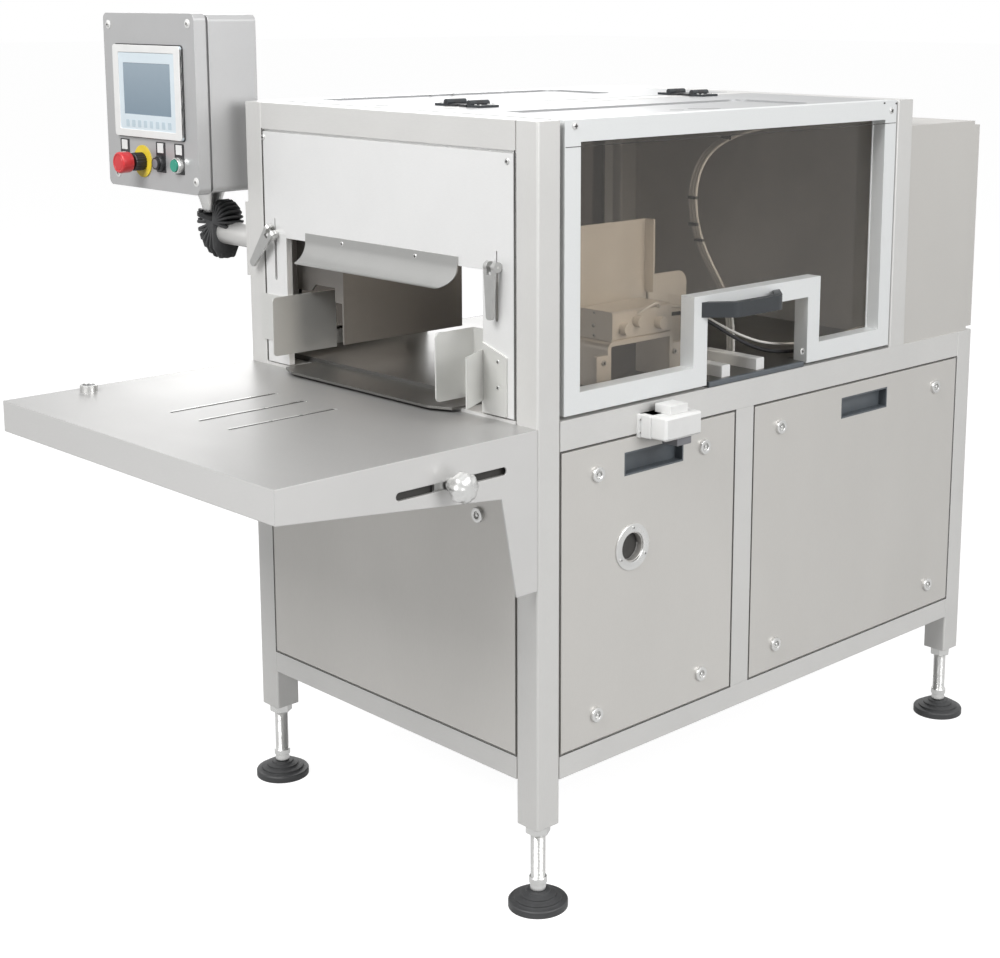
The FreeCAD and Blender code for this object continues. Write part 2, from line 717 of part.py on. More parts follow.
endPanels = [
    endPanel("frontPanel", "0", "panelFront"),
    endPanel("rearPanel", "lowerDepth - panelFront", "lowerDepth - panelDeep"),
]
rightPanels = [cut("portPanel", plainPanels[0], [portHole]), plainPanels[1]]
leftPanels = [mirror(f"leftPanel{index}", panel) for index, panel in enumerate(plainPanels)]
node("base_panels", rightPanels + leftPanels + endPanels)
leftPulls = [mirror(f"leftPull{index}", pull) for index, pull in enumerate(rightPulls)]
node("recessed_pulls", rightPulls + leftPulls)

frontLocks = []
for side, x in (("Left", "-frontLockPlace"), ("Right", "frontLockPlace")):
    head = rod(f"frontLock{side}", (x, "0", "frontLockHigh"), "lockRadius", "lockProud", "-Y")
    slot = box(
        f"frontLockSlot{side}",
        (f"{x} - lockRadius", "-1.5 * lockProud", "frontLockHigh - lockSlot / 2"),
        ("2 * lockRadius", "lockProud", "lockSlot"),
    )
    frontLocks.append(cut(f"frontLock{side}", head, [slot]))
leftLocks = [mirror(f"leftLock{index}", lock) for index, lock in enumerate(rightLocks)]
node("panel_locks", rightLocks + leftLocks + frontLocks)

portFlangeDisc = rod("portFlangeDisc", ("half", "portPlace", "portHigh"), "portRadius", "portFlange", "+X")
portNeck = rod("portNeck", ("half", "portPlace", "portHigh"), "portCollar", "portProud", "+X")
node("port_ring", [cut("portRing", fuse("portRing", [portFlangeDisc, portNeck]), [portHole])])

# Deck on top of the base: one plate with a tongue in each hood's notch, edged with a strip.
tongueFront = "notchFront + hoodSeal"
tongueBack = "notchBack - hoodSeal"
deckHalf = [
    ("half - tube + deckEdge", "tube"),
    ("half - tube + deckEdge", tongueFront),
    ("half - stripThick", tongueFront),
    ("half - stripThick", tongueBack),
    ("half - tube + deckEdge", tongueBack),
    ("half - tube + deckEdge", "guardPost"),
    ("half - tube", "guardPost"),
    ("half - tube", "upperDepth"),
]
deckLoop = deckHalf + [(f"-({x})", y) for x, y in reversed(deckHalf)]
node("deck_plate", [plate("deck", "XY_Plane", [deckLoop], "middleTop", "deckThick")])

stripLoop = [
    ("half - stripThick", "middleTop"),
    ("half", "middleTop"),
    ("half", "deckTop"),
    ("half - stripThick", "deckTop"),
]
tongueLong = f"{tongueBack} - ({tongueFront})"
rightStrip = plate("rightStrip", "XZ_Plane", [stripLoop], f"-({tongueBack})", tongueLong)
roundEdges(rightStrip, "rightStrip", axisY, "stripRound", lambda middle: middle.x > size("half") - 1)
node("deck_edge_strips", [rightStrip, mirror("leftStrip", rightStrip)])


def slideBar(name, place):
    loop = [
        (place, "deckTop"),
        (f"{place} + slideBarWide", "deckTop"),
        (f"{place} + slideBarWide", "deckTop + slideBarTall"),
        (place, "deckTop + slideBarTall"),
    ]
    bar = plate(name, "YZ_Plane", [loop], "slideBarInner", "slideBarEnd - slideBarInner")
    roundEdges(bar, name, axisX, "slideBarRound", lambda middle: middle.z > size("deckTop") + 1)
    return bar


node("slide_blocks", [slideBar("frontSlideBar", "slideBarFront"), slideBar("rearSlideBar", "slideBarRear")])

cabinet = box(
    "cabinet",
    ("cabinetInset - half", "upperDepth", "middleTop"),
    ("frameWidth - 2 * cabinetInset", "cabinetDepth", "cabinetTop - middleTop"),
)
node("rear_cabinet", [cabinet])
cabinetDoor = box(
    "cabinetDoor",
    ("cabinetInset - half", "cabinetBack", "middleTop + doorInset"),
    ("frameWidth - 2 * cabinetInset", "doorThick", "cabinetTop - middleTop - 2 * doorInset"),
)
node("rear_cabinet_door", [cabinetDoor])


# Front cover: an upside-down U round the infeed mouth, held by two cam levers.
def coverLoop(gap):
    outer = f"half - tube - {gap}"
    top = f"beamBottom - {gap}"
    low = "middleTop + coverRise"
    return [
        (f"-({outer})", low),
        ("-mouthLeft", low),
        ("-mouthLeft", "mouthTop"),
        ("mouthRight", "mouthTop"),
        ("mouthRight", low),
        (outer, low),
        (outer, top),
        (f"-({outer})", top),
    ]


coverSheet = plate("coverSheet", "XZ_Plane", [coverLoop("coverGap")], "-coverFace", "coverFace")
coverBack = plate("coverBack", "XZ_Plane", [coverLoop("0")], "-coverBackFace", "coverLip")


def studSlot(name, x):
    """A slot that lets the cover drop on its stud, round at its lower end, and a slit over it."""
    wide = "2 * (leverStud + studSlotPlay)"
    slot = box(
        f"{name}Slot",
        (f"{x} - ({wide}) / 2", "-1", "leverHigh - studSlotDrop"),
        (wide, "coverBackFace + 2", "studSlotDrop"),
    )
    ends = [
        rod(f"{name}SlotEnd{index}", (x, "-1", high), "leverStud + studSlotPlay", "coverBackFace + 2", "+Y")
        for index, high in enumerate(("leverHigh", "leverHigh - studSlotDrop"))
    ]
    slit = box(
        f"{name}Slit",
        (f"{x} - studSlitWide / 2", "-1", "leverHigh"),
        ("studSlitWide", "coverBackFace + 2", "studSlitRise"),
    )
    return [slot, slit] + ends


studSlots = studSlot("rightStud", "leverRight") + studSlot("leftStud", "-leverLeft")
node("front_cover", [cut("coverSlotted", fuse("frontCover", [coverSheet, coverBack]), studSlots)])


# Deflector over the mouth: a flat strip that flares out to the front in a quarter round.
deflectorWide = "deflectorLeft + deflectorRight"
deflectorBend = "deflectorTop - deflectorFlat"
deflectorStrip = box(
    "deflectorStrip",
    ("-deflectorLeft", "-sheetThick", deflectorBend),
    (deflectorWide, "sheetThick", "deflectorFlat"),
)
bendAxis = ("deflectorRight", "-sheetThick - deflectorCurl", deflectorBend)
flareOuter = rod("flareOuter", bendAxis, "deflectorCurl + sheetThick", deflectorWide)
flareOuter.Placement.Rotation = Rotation(axisY, Vector(0, 0, -1), Vector(-1, 0, 0), "XYZ")
bind(flareOuter, "Angle", "deflectorTurn")
flareInner = rod("flareInner", bendAxis, "deflectorCurl", deflectorWide, "-X")
cornerBlock = box(
    "cornerBlock",
    ("deflectorRight - deflectorCorner", "-deflectorCurl - 2 * sheetThick", "deflectorLow - 1"),
    ("deflectorCorner + 1", "deflectorCurl + 2 * sheetThick", "deflectorCorner + 1"),
)
cornerRound = rod(
    "cornerRound",
    ("deflectorRight - deflectorCorner", "-deflectorCurl - 3 * sheetThick", "deflectorLow + deflectorCorner"),
    "deflectorCorner",
    "deflectorCurl + 4 * sheetThick",
    "+Y",
)
flare = cut("flare", flareOuter, [flareInner])
deflectorCut = cut("corner", cornerBlock, [cornerRound])
node("flared_deflector", [cut("deflector", fuse("deflector", [deflectorStrip, flare]), [deflectorCut])])


# Carton guides: a straight plate at the left, a flared wing and an inner rail at the right.
leftGuideLoop = [
    ("-guideReach", "guideLow"),
    ("guideBack", "guideLow"),
    ("guideBack", "guideLow + guideTall"),
    ("-guideReach", "guideLow + guideTall"),
]
leftGuide = plate("leftGuide", "YZ_Plane", [leftGuideLoop], "-mouthLeft", "sheetThick")
roundEdges(leftGuide, "leftGuide", axisX, "guideRound", lambda middle: middle.y < 0)
leftFootLoop = [
    ("-mouthLeft - guideFoot", "guideFootLow"),
    ("sheetThick - mouthLeft", "guideFootLow"),
    ("sheetThick - mouthLeft", "guideFootLow + guideFootTall"),
    ("-mouthLeft - guideFoot", "guideFootLow + guideFootTall"),
]
leftFoot = plate("leftFoot", "XZ_Plane", [leftFootLoop], "0", "sheetThick")
roundEdges(leftFoot, "leftFoot", axisY, "guideRound", lambda middle: middle.x < -size("mouthLeft") - 1)

wingLoop = [
    ("mouthRight", "0"),
    ("mouthRight", "-sheetThick"),
    ("mouthRight + wingFlare", "-wingReach"),
    ("mouthRight + wingFlare + sheetThick", "-wingReach"),
    ("mouthRight + sheetThick", "-sheetThick"),
    ("mouthRight + sheetThick", "0"),
]
wing = plate("wing", "XY_Plane", [wingLoop], "guideLow", "wingTall")
wingFootLoop = [
    ("mouthRight", "wingLow"),
    ("mouthRight + wingFoot", "wingLow"),
    ("mouthRight + wingFoot", "wingLow + wingFootTall - wingFootSlope"),
    ("mouthRight", "wingLow + wingFootTall"),
]
wingFoot = plate("wingFoot", "XZ_Plane", [wingFootLoop], "0", "sheetThick")
roundEdges(wingFoot, "wingFoot", axisY, "guideRound / 2", lambda middle: middle.x > size("mouthRight") + 1)

railLoop = [
    ("-railReach", "guideLow"),
    ("coverBackFace + sheetThick", "guideLow"),
    ("coverBackFace + sheetThick", "guideLow + railTall"),
    ("-railReach", "guideLow + railTall"),
]
innerRail = plate("innerRail", "YZ_Plane", [railLoop], "railPlace", "sheetThick")
roundEdges(innerRail, "innerRail", axisX, "guideRound", lambda middle: middle.y < 0)
innerRailWeb = box(
    "innerRailWeb",
    ("railPlace", "coverBackFace", "guideLow"),
    ("mouthRight + railSeat - railPlace", "sheetThick", "railTall"),
)
node(
    "carton_guides",
    [
        fuse("leftGuideWhole", [leftGuide, leftFoot]),
        fuse("rightGuide", [wing, wingFoot]),
        fuse("innerRailWhole", [innerRail, innerRailWeb]),
    ],
)

lipLoop = [
    ("-lipLeft", "tube"),
    ("-lipLeft", "lipCorner - lipReach"),
    ("lipCornerWide - lipLeft", "-lipReach"),
    ("lipRight - lipCornerWide", "-lipReach"),
    ("lipRight", "lipCorner - lipReach"),
    ("lipRight", "tube"),
]
trayLip = plate("trayLip", "XY_Plane", [lipLoop], "middleTop", "lipThick")
node("tray_lip", [trayLip])

innerLoop = [
    ("innerFront", "innerLow"),
    ("innerBack", "innerLow"),
    ("innerBack", "beamBottom"),
    ("coverBackFace", "beamBottom"),
    ("coverBackFace", "mouthTop"),
    ("innerFront", "mouthTop"),
]
innerSheet = plate("innerSheet", "YZ_Plane", [innerLoop], "-innerPlate", "innerThick")
flangeLoop = [
    ("-flangeOuter", "flangeTop"),
    ("-flangeOuter", "flangeLow"),
    ("flangeNotchStart - flangeOuter", "flangeLow"),
    ("flangeNotchStart + flangeNotch - flangeOuter", "flangeLow + flangeNotch"),
    ("-innerPlate - flangeLeg", "flangeLow + flangeNotch"),
    ("-innerPlate - flangeLeg", "flangeLegLow"),
    ("-innerPlate", "flangeLegLow"),
    ("-innerPlate", "flangeTop"),
]
innerFlange = plate("innerFlange", "XZ_Plane", [flangeLoop], "-innerFront - innerThick", "innerThick")
node("inner_carton_plate", [fuse("innerPlateWhole", [innerSheet, innerFlange])])

# Infeed table: a folded tray whose side skirts run down the posts as gussets.
sheetTop = box(
    "sheetTop", ("-half", "-tableDepth", "tableTop - tableSheet"), ("frameWidth", "tableDepth", "tableSheet")
)
frontSkirt = box(
    "frontSkirt", ("-half", "-tableDepth", "tableTop - skirtTall"), ("frameWidth", "tableSheet", "skirtTall")
)
skirtLoop = [
    ("-tableDepth", "tableTop"),
    ("-tableDepth", "tableTop - skirtTall"),
    ("-gussetTopWide", "tableTop - gussetDrop"),
    ("-gussetWide", "gussetLow"),
    ("0", "gussetLow"),
    ("0", "tableTop"),
]
rightSkirt = plate("rightSkirt", "YZ_Plane", [skirtLoop], "half - tableSheet", "tableSheet")
leftSkirt = plate("leftSkirt", "YZ_Plane", [skirtLoop], "-half", "tableSheet")
clampSlot = box(
    "clampSlot",
    ("half - 2 * tableSheet", "slotWide / 2 - slotFront", "slotHigh - slotWide / 2"),
    ("3 * tableSheet", "slotFront - slotBack - slotWide", "slotWide"),
)
slotEnds = [
    rod(f"slotEnd{index}", ("half - 2 * tableSheet", y, "slotHigh"), "slotWide / 2", "3 * tableSheet", "+X")
    for index, y in enumerate(("slotWide / 2 - slotFront", "-slotBack - slotWide / 2"))
]
topSlits = [
    box(
        f"topSlit{index}",
        (f"slitPlace + {index - 1} * slitPitch", "-slitFront", "tableTop - 2 * tableSheet"),
        ("slitWide", "slitFront - slitBack", "3 * tableSheet"),
    )
    for index in range(3)
]
tableShell = fuse("tableShell", [sheetTop, frontSkirt, rightSkirt, leftSkirt])
node("infeed_table", [cut("table", tableShell, [clampSlot] + slotEnds + topSlits)])

sensorPlaceAt = ("sensorSide - half", "-sensorPlace", "tableTop")
node("table_sensor", [rod("sensorBody", sensorPlaceAt, "sensorRadius", "sensorTall")])

# Clamp on the right skirt: a plate inside, a stud through the slot and a knob that turns on it.
clampPlate = box(
    "clampPlate",
    (
        "half - tableSheet - slideGap - clampPlateThick",
        "-clampPlace - clampPlateLong / 2",
        "slotHigh - clampPlateTall / 2",
    ),
    ("clampPlateThick", "clampPlateLong", "clampPlateTall"),
)
clampStud = rod(
    "clampStud",
    ("half - tableSheet - slideGap - clampPlateThick", "-clampPlace", "slotHigh"),
    "studRadius",
    "clampPlateThick + slideGap + tableSheet + boreDeep - 1",
    "+X",
)
node("clamp_slide", [fuse("clampSlide", [clampPlate, clampStud])])

knob = turned(
    "knob",
    [
        ("studRadius + pinPlay", "slideGap"),
        ("knobNeck", "slideGap"),
        ("knobNeck", "knobReach * 0.4"),
        ("knobRadius", "knobReach * 0.5"),
        ("knobRadius", "knobReach * 0.68"),
        ("knobRadius * 0.7", "knobReach * 0.9"),
        ("knobRadius * 0.3", "knobReach"),
        ("0", "knobReach"),
        ("0", "boreDeep"),
        ("studRadius + pinPlay", "boreDeep"),
    ],
)
knob.Placement.Rotation = directions["+X"]
placeAt(knob, ("half", "-clampPlace", "slotHigh"))
node("clamp_knob", [knob])

# Rectangular connector on the right middle rail, with its gland underneath.
plugHousing = box("plugHousing", ("half", "plugFront", "plugLow"), ("plugBase", "plugLong", "plugTall"))
plugHood = box(
    "plugHood",
    ("half + plugBase", "plugFront + plugLatch", "plugLow"),
    ("plugReach - plugBase", "plugLong - 2 * plugLatch", "plugTall"),
)
node("rail_connector", [fuse("railConnector", [plugHousing, plugHood])])
plugGland = rod(
    "plugGland",
    ("half + (plugBase + plugReach) / 2", "plugFront + plugLong / 2", "plugLow"),
    "glandRadius",
    "glandTall",
    "-Z",
)
node("connector_gland", [plugGland])

# Arm of the operator box: a flange on the left post, a tube and a fanned rubber boot.
armFlange = box(
    "armFlange",
    ("-half - flangeThick", "armPlace - flangeWide / 2", "armHigh - flangeTall / 2"),
    ("flangeThick", "flangeWide", "flangeTall"),
)
armTube = rod(
    "armTube",
    ("-half - flangeThick", "armPlace", "armHigh"),
    "armRadius",
    "neckPlace - bootBend - half - flangeThick",
    "-X",
)
node("panel_arm", [fuse("panelArm", [armFlange, armTube])])


def bootRing(name, radius, turn, sweep):
    """A stretch of the boot's bend: a ring of the given radius, from turn on through sweep degrees."""
    ring = doc.addObject("Part::Torus", name)
    bend = Rotation(Vector(0, 0, -1), Vector(-1, 0, 0), axisY, "XYZ")
    ring.Placement.Rotation = bend.multiply(Rotation(axisZ, turn))
    ring.Angle3 = sweep
    bind(ring, "Radius1", "bootBend")
    bind(ring, "Radius2", radius)
    placeAt(ring, ("bootBend - neckPlace", "armPlace", "armHigh + bootBend"))
    return ring


finCount = int(size("bootFins"))
finStep = 90 / finCount
finSweep = math.degrees(size("finThick") / size("bootBend"))
bootPieces = [bootRing("bootTube", "bootCore", 0, 90)]
for index in range(finCount):
    turn = finStep * (index + 0.5) - finSweep / 2
    bootPieces.append(bootRing(f"bootFin{index}", "bootFin", turn, finSweep))
coneStart = ("-neckPlace", "armPlace", "armHigh + bootBend")
coneTall = "boxLow + boxBodyInset - swivelGap - armHigh - bootBend"
node("arm_boot", [fuse("boot", bootPieces)])
node("neck_cone", [taper("neckCone", coneStart, "coneFoot", "coneTop", coneTall)])


# Operator box: lid, seal groove and body; it turns as one on the neck.
def boxSlab(name, inset, front, deep):
    low = f"boxLow + {inset}"
    high = f"boxTop - {inset}"
    left = f"{inset} - boxLeft"
    right = f"boxWide - boxLeft - {inset}"
    loop = [(left, low), (right, low), (right, high), (left, high)]
    slab = plate(name, "XZ_Plane", [loop], f"-({front}) - ({deep})", deep)
    roundEdges(slab, name, axisY, "boxRound")
    return slab


boxDeep = "boxFront + boxBack - boxLid - boxSeal"
node("operator_box_lid", [boxSlab("boxLidSlab", "0", "-boxFront", "boxLid")])
boxSealSlab = boxSlab("boxSealSlab", "boxSealInset", "boxLid - boxFront", "boxSeal")
boxBodySlab = boxSlab("boxBodySlab", "boxBodyInset", "boxLid + boxSeal - boxFront", boxDeep)
node("operator_box", [fuse("operatorBox", [boxSealSlab, boxBodySlab])])


def lidPlate(name, wide, tall, low, front, thick, radius):
    """A flat thing on the lid, centred across it."""
    left = f"-boxMiddle - {wide} / 2"
    right = f"-boxMiddle + {wide} / 2"
    loop = [(left, low), (right, low), (right, f"{low} + {tall}"), (left, f"{low} + {tall}")]
    thing = plate(name, "XZ_Plane", [loop], front, thick)
    if radius:
        roundEdges(thing, name, axisY, radius)
    return thing


bezel = lidPlate("bezel", "bezelWide", "bezelTall", "bezelLow", "boxFront", "bezelThick", "bezelRound")
screenFloor = "boxFront + bezelThick - screenThick"
screenPocket = lidPlate(
    "screenPocket", "screenWide", "screenTall", "screenLow", screenFloor, "2 * screenThick", None
)
node("touch_panel", [cut("touchPanel", bezel, [screenPocket])])
screen = lidPlate("screen", "screenWide", "screenTall", "screenLow", screenFloor, "screenThick / 2", None)
node("touch_screen", [screen])


def devicePlace(index, proud="0"):
    return (f"-boxMiddle + {index - 1.5} * devicePitch", f"-boxFront - ({proud})", "deviceHigh")


def buttonRing(name, index):
    ring = rod(f"{name}Ring", devicePlace(index), "ringRadius", "ringProud", "-Y")
    well = rod(f"{name}Well", devicePlace(index, "wellFloor"), "capRadius + capPlay", "ringProud", "-Y")
    return cut(name, ring, [well])


def buttonCap(name, index, start):
    return rod(name, devicePlace(index, start), "capRadius", f"capProud - ({start})", "-Y")


node("button_rings", [buttonRing("stopRing", 2), buttonRing("startRing", 3)])
node("pilot_lamp", [rod("pilotLamp", devicePlace(0), "ringRadius", "capProud", "-Y")])
capStart = "wellFloor + slideGap + capTravel"
node("stop_button", [buttonCap("stopCap", 2, capStart)])
node("start_button", [buttonCap("startCap", 3, capStart)])

yellowDisc = rod("yellowDisc", devicePlace(1), "discRadius", "discThick", "-Y")
stopCollar = rod("stopCollar", devicePlace(1, "discThick"), "collarRadius", "collarProud - discThick", "-Y")
stopBore = rod("stopBore", devicePlace(1, "discThick"), "stopStem + capPlay", "collarProud", "-Y")
node("emergency_disc", [yellowDisc])
node("emergency_collar", [cut("emergencyCollar", stopCollar, [stopBore])])
stopHead = rod("stopHead", devicePlace(1, "collarProud + stopTravel"), "stopRadius", "stopTall", "-Y")
stopStem = rod(
    "stopStemBar", devicePlace(1, "discThick + stopTravel"), "stopStem", "collarProud - discThick", "-Y"
)
node("emergency_head", [fuse("emergencyHead", [stopHead, stopStem])])


# Cam levers that hold the front cover, each on a fixed stud with a cross pin.
# A stud and its lever are made about the pin's middle and turned together about the stud.
def clampAt(name, pieces, x, turn):
    group = doc.addObject("Part::Compound", f"{name}Group")
    group.Links = pieces
    group.Placement.Rotation = Rotation(axisY, 1)
    bind(group, ".Placement.Rotation.Angle", turn)
    placeAt(group, (x, "-leverPin", "leverHigh"))
    return group


def coverStud(name, x, turn, tabStart, tabLong):
    """The stud comes through the cover's slot from a tab on the post; its cross pin holds the lever."""
    studLong = "leverPin + coverBackFace"
    stud = rod(f"{name}Stud", ("0", studLong, "0"), "leverStud", studLong, "-Y")
    pin = rod(f"{name}Pin", ("-leverWide / 2", "0", "0"), "crossPin", "leverWide", "+X")
    standing = clampAt(f"{name}Fixed", [fuse(f"{name}Fixed", [stud, pin])], x, turn)
    tab = box(
        f"{name}Tab",
        (tabStart, "coverBackFace", "leverHigh - studTabTall / 2"),
        (tabLong, "studTabThick", "studTabTall"),
    )
    return fuse(f"{name}OnTab", [standing, tab])


def camLever(name, x, turn):
    """The arm hangs along -Z in front of two ears that bear on the cover; a slot clears the stud."""
    armLoop = [
        ("-leverWide / 2", "0"),
        ("-leverTip / 2", "-leverLong"),
        ("leverTip / 2", "-leverLong"),
        ("leverWide / 2", "0"),
    ]
    arm = plate(f"{name}Arm", "XZ_Plane", [armLoop], "camRadius - leverThick - leverInset", "leverThick")
    roundEdges(arm, f"{name}Arm", axisY, "leverCorner", lambda middle: middle.z < -1)
    rib = box(
        f"{name}Rib",
        ("-leverRibWide / 2", "leverThick + leverInset - camRadius", "leverCorner - leverLong"),
        ("leverRibWide", "leverRib", "leverLong - leverCorner - 2 * camRadius"),
    )
    cam = rod(f"{name}Cam", ("-leverWide / 2", "0", "0"), "camRadius", "leverWide", "+X")
    slot = box(
        f"{name}Slot",
        ("-leverSlot / 2", "-2 * camRadius", "-1.4 * camRadius"),
        ("leverSlot", "4 * camRadius", "4 * camRadius"),
    )
    bore = rod(f"{name}Bore", ("-leverWide", "0", "0"), "crossPin + pinPlay", "2 * leverWide", "+X")
    return clampAt(name, [cut(name, fuse(name, [arm, rib, cam]), [slot, bore])], x, turn)


rightTab = ("leverRight - 2 * leverStud", "half - tube - leverRight + 2 * leverStud")
leftTab = ("tube - half", "half - tube - leverLeft + 2 * leverStud")
rightStud = coverStud("rightStud", "leverRight", "0", *rightTab)
leftStud = coverStud("leftStud", "-leverLeft", "leverTurn", *leftTab)
node("cover_studs", [rightStud, leftStud])
node("right_cover_lever", [camLever("rightLever", "leverRight", "0")])
node("left_cover_lever", [camLever("leftLever", "-leverLeft", "leverTurn")])

# Side pusher: a guided cylinder block on a hat bracket, its rods and an upright plate.
blockLoop = [
    ("blockBack", "blockLow"),
    ("blockFace", "blockLow"),
    ("blockFace", "blockLow + blockTall"),
    ("blockBack", "blockLow + blockTall"),
]
blockBody = plate("blockBody", "XZ_Plane", [blockLoop], "-blockFront - blockLong", "blockLong")
bevelEdges(blockBody, "blockBody", axisY, "blockBevel")
rodPlaces = (
    ("blockFront + firstRod", "blockLow + rodRise", "rodRadius"),
    ("blockFront + pistonPlace", "blockLow + pistonRise", "pistonRadius"),
    ("blockFront + lastRod", "blockLow + rodRise", "rodRadius"),
)
rodBores = [
    rod(f"rodBore{index}", ("blockBack - 1", y, high), f"{radius} + rodGap", "blockWide + 2", "+X")
    for index, (y, high, radius) in enumerate(rodPlaces)
]
node("cylinder_block", [cut("cylinderBlock", blockBody, rodBores)])

pusherLoop = [
    ("pusherFront", "blockLow"),
    ("pusherBack", "blockLow"),
    ("pusherBack", "pusherTop"),
    ("pusherFront", "pusherTop"),
]
pusherSheet = plate("pusherSheet", "YZ_Plane", [pusherLoop], "pusherFace - pusherThick", "pusherThick")
pusherEdgeFree = size("pusherFront") + 1
roundEdges(pusherSheet, "pusherSheet", axisX, "pusherRound", lambda middle: middle.y < pusherEdgeFree)
pusherEdge = box(
    "pusherEdge",
    ("pusherFace - pusherThick", "pusherBack - pusherThick", "blockLow + blockTall + flangeRise"),
    ("pusherFlange", "pusherThick", "pusherTop - blockLow - blockTall - flangeRise"),
)
rodLong = "blockFace + rodProud - pusherFace + pusherThick / 2"
pusherRods = [
    rod(f"pusherRod{index}", ("pusherFace - pusherThick / 2", y, high), radius, rodLong, "+X")
    for index, (y, high, radius) in enumerate(rodPlaces)
]
node("side_pusher", [fuse("sidePusher", [pusherSheet, pusherEdge] + pusherRods)])

sidePlateLoop = [
    ("sidePlateFront", "deckTop"),
    ("sidePlateBack", "deckTop"),
    ("sidePlateBack", "sidePlateTop"),
    ("sidePlateFront", "sidePlateTop"),
]
sidePlate = plate("sidePlate", "YZ_Plane", [sidePlateLoop], "pusherFace - pusherThick", "pusherThick")
roundEdges(
    sidePlate, "sidePlate", axisX, "sidePlateRound",
    lambda middle: middle.z > size("deckTop") + 1 and middle.y > size("sidePlateFront") + 1,
)
node("side_plate", [sidePlate])

hatLoop = [
    ("bracketFront", "deckTop"),
    ("bracketFront", "blockLow"),
    ("bracketBack", "blockLow"),
    ("bracketBack", "deckTop"),
    ("bracketBack - bracketThick", "deckTop"),
    ("bracketBack - bracketThick", "blockLow - bracketThick"),
    ("bracketFront + bracketThick", "blockLow - bracketThick"),
    ("bracketFront + bracketThick", "deckTop"),
]
hat = plate("hat", "YZ_Plane", [hatLoop], "blockBack", "blockWide")
roundEdges(hat, "hat", axisX, "bracketRound", lambda middle: middle.z > size("blockLow") - 1)
bracketPieces = [hat]
for index, y in enumerate(("bracketFront - tabWide", "bracketBack")):
    tab = ("bracketThick", "tabWide", "tabTall")
    bracketPieces.append(box(f"bracketTab{index}", ("blockFace - bracketThick", y, "deckTop"), tab))
node("hat_bracket", [fuse("hatBracket", bracketPieces)])

# Hoods: a glazed side frame and half of the roof, hinged as one beside the spine.
hoodLoop = [
    ("hoodFront", "hoodLow"),
    ("notchFront", "hoodLow"),
    ("notchFront", "notchTop"),
    ("notchBack", "notchTop"),
    ("notchBack", "hoodLow"),
    ("hoodBack", "hoodLow"),
    ("hoodBack", "roofTop"),
    ("hoodFront", "roofTop"),
]
glazingLoop = [
    ("glassFront", "glassLow"),
    ("surroundFront", "glassLow"),
    ("surroundFront", "surroundTop"),
    ("surroundBack", "surroundTop"),
    ("surroundBack", "glassLow"),
    ("glassBack", "glassLow"),
    ("glassBack", "glassTop"),
    ("glassFront", "glassTop"),
]
rightFrame = plate("rightHood", "YZ_Plane", [hoodLoop, glazingLoop], "hoodInner", "hoodDeep")
node("right_hood_frame", [rightFrame])
node("left_hood_frame", [mirror("leftHood", rightFrame)])

lidWide = "hoodInner - lidInner"
lidSlab = box("lidSlab", ("lidInner", "hoodFront", "roofTop - hoodDeep"), (lidWide, "hoodLong", "hoodDeep"))
lidStepLoop = [
    ("lidInsetInner", "lidInsetFront"),
    ("lidInsetOuter", "lidInsetFront"),
    ("lidInsetOuter", "lidInsetBack"),
    ("lidInsetInner", "lidInsetBack"),
]
lidStep = plate("lidStep", "XY_Plane", [lidStepLoop], "roofTop - lidRecess", "2 * lidRecess")
roundEdges(lidStep, "lidStep", axisZ, "lidInsetRound", lambda middle: middle.y > size("lidInsetFront") + 1)
lidHollow = box(
    "lidHollow",
    ("lidInner + hoodProfile", "glassFront", "roofTop - 2 * hoodDeep"),
    (f"{lidWide} - 2 * hoodProfile", "glassBack - glassFront", "2 * hoodDeep - lidRecess - lidSkin"),
)
rightLid = cut("rightLid", lidSlab, [lidStep, lidHollow])
node("right_hood_lid", [rightLid])
node("left_hood_lid", [mirror("leftLid", rightLid)])

windowLoop = [
    ("glassFront - glassLap", "glassLow - glassLap"),
    ("surroundFront + glassLap", "glassLow - glassLap"),
    ("surroundFront + glassLap", "surroundTop - glassLap"),
    ("surroundBack - glassLap", "surroundTop - glassLap"),
    ("surroundBack - glassLap", "glassLow - glassLap"),
    ("glassBack + glassLap", "glassLow - glassLap"),
    ("glassBack + glassLap", "glassTop + glassLap"),
    ("glassFront - glassLap", "glassTop + glassLap"),
]
rightWindow = plate("rightWindow", "YZ_Plane", [windowLoop], "hoodInner - glassThick", "glassThick")
node("right_window", [rightWindow])
node("left_window", [mirror("leftWindow", rightWindow)])

handleEnd = "handlePlace + handleLong"
handleInside = "handleSweep + 0.4 * handleThick"
handleLoop = [
    ("half", "handlePlace"),
    ("half + handleReach", "handlePlace + handleSweep"),
    ("half + handleReach", f"{handleEnd} - handleSweep"),
    ("half", handleEnd),
    ("half", f"{handleEnd} - 1.3 * handleThick"),
    ("half + handleReach - handleThick", f"{handleEnd} - ({handleInside})"),
    ("half + handleReach - handleThick", f"handlePlace + {handleInside}"),
    ("half", "handlePlace + 1.3 * handleThick"),
]
rightHandle = plate("rightHandle", "XY_Plane", [handleLoop], "handleLow", "handleTall")
handleOut = size("half") + size("handleReach")
roundEdges(rightHandle, "handleOuter", axisZ, "handleOuterRound", lambda middle: middle.x > handleOut - 1)
roundEdges(
    rightHandle, "handleInner", axisZ, "handleInnerRound",
    lambda middle: abs(middle.x - handleOut + size("handleThick")) < 1,
)


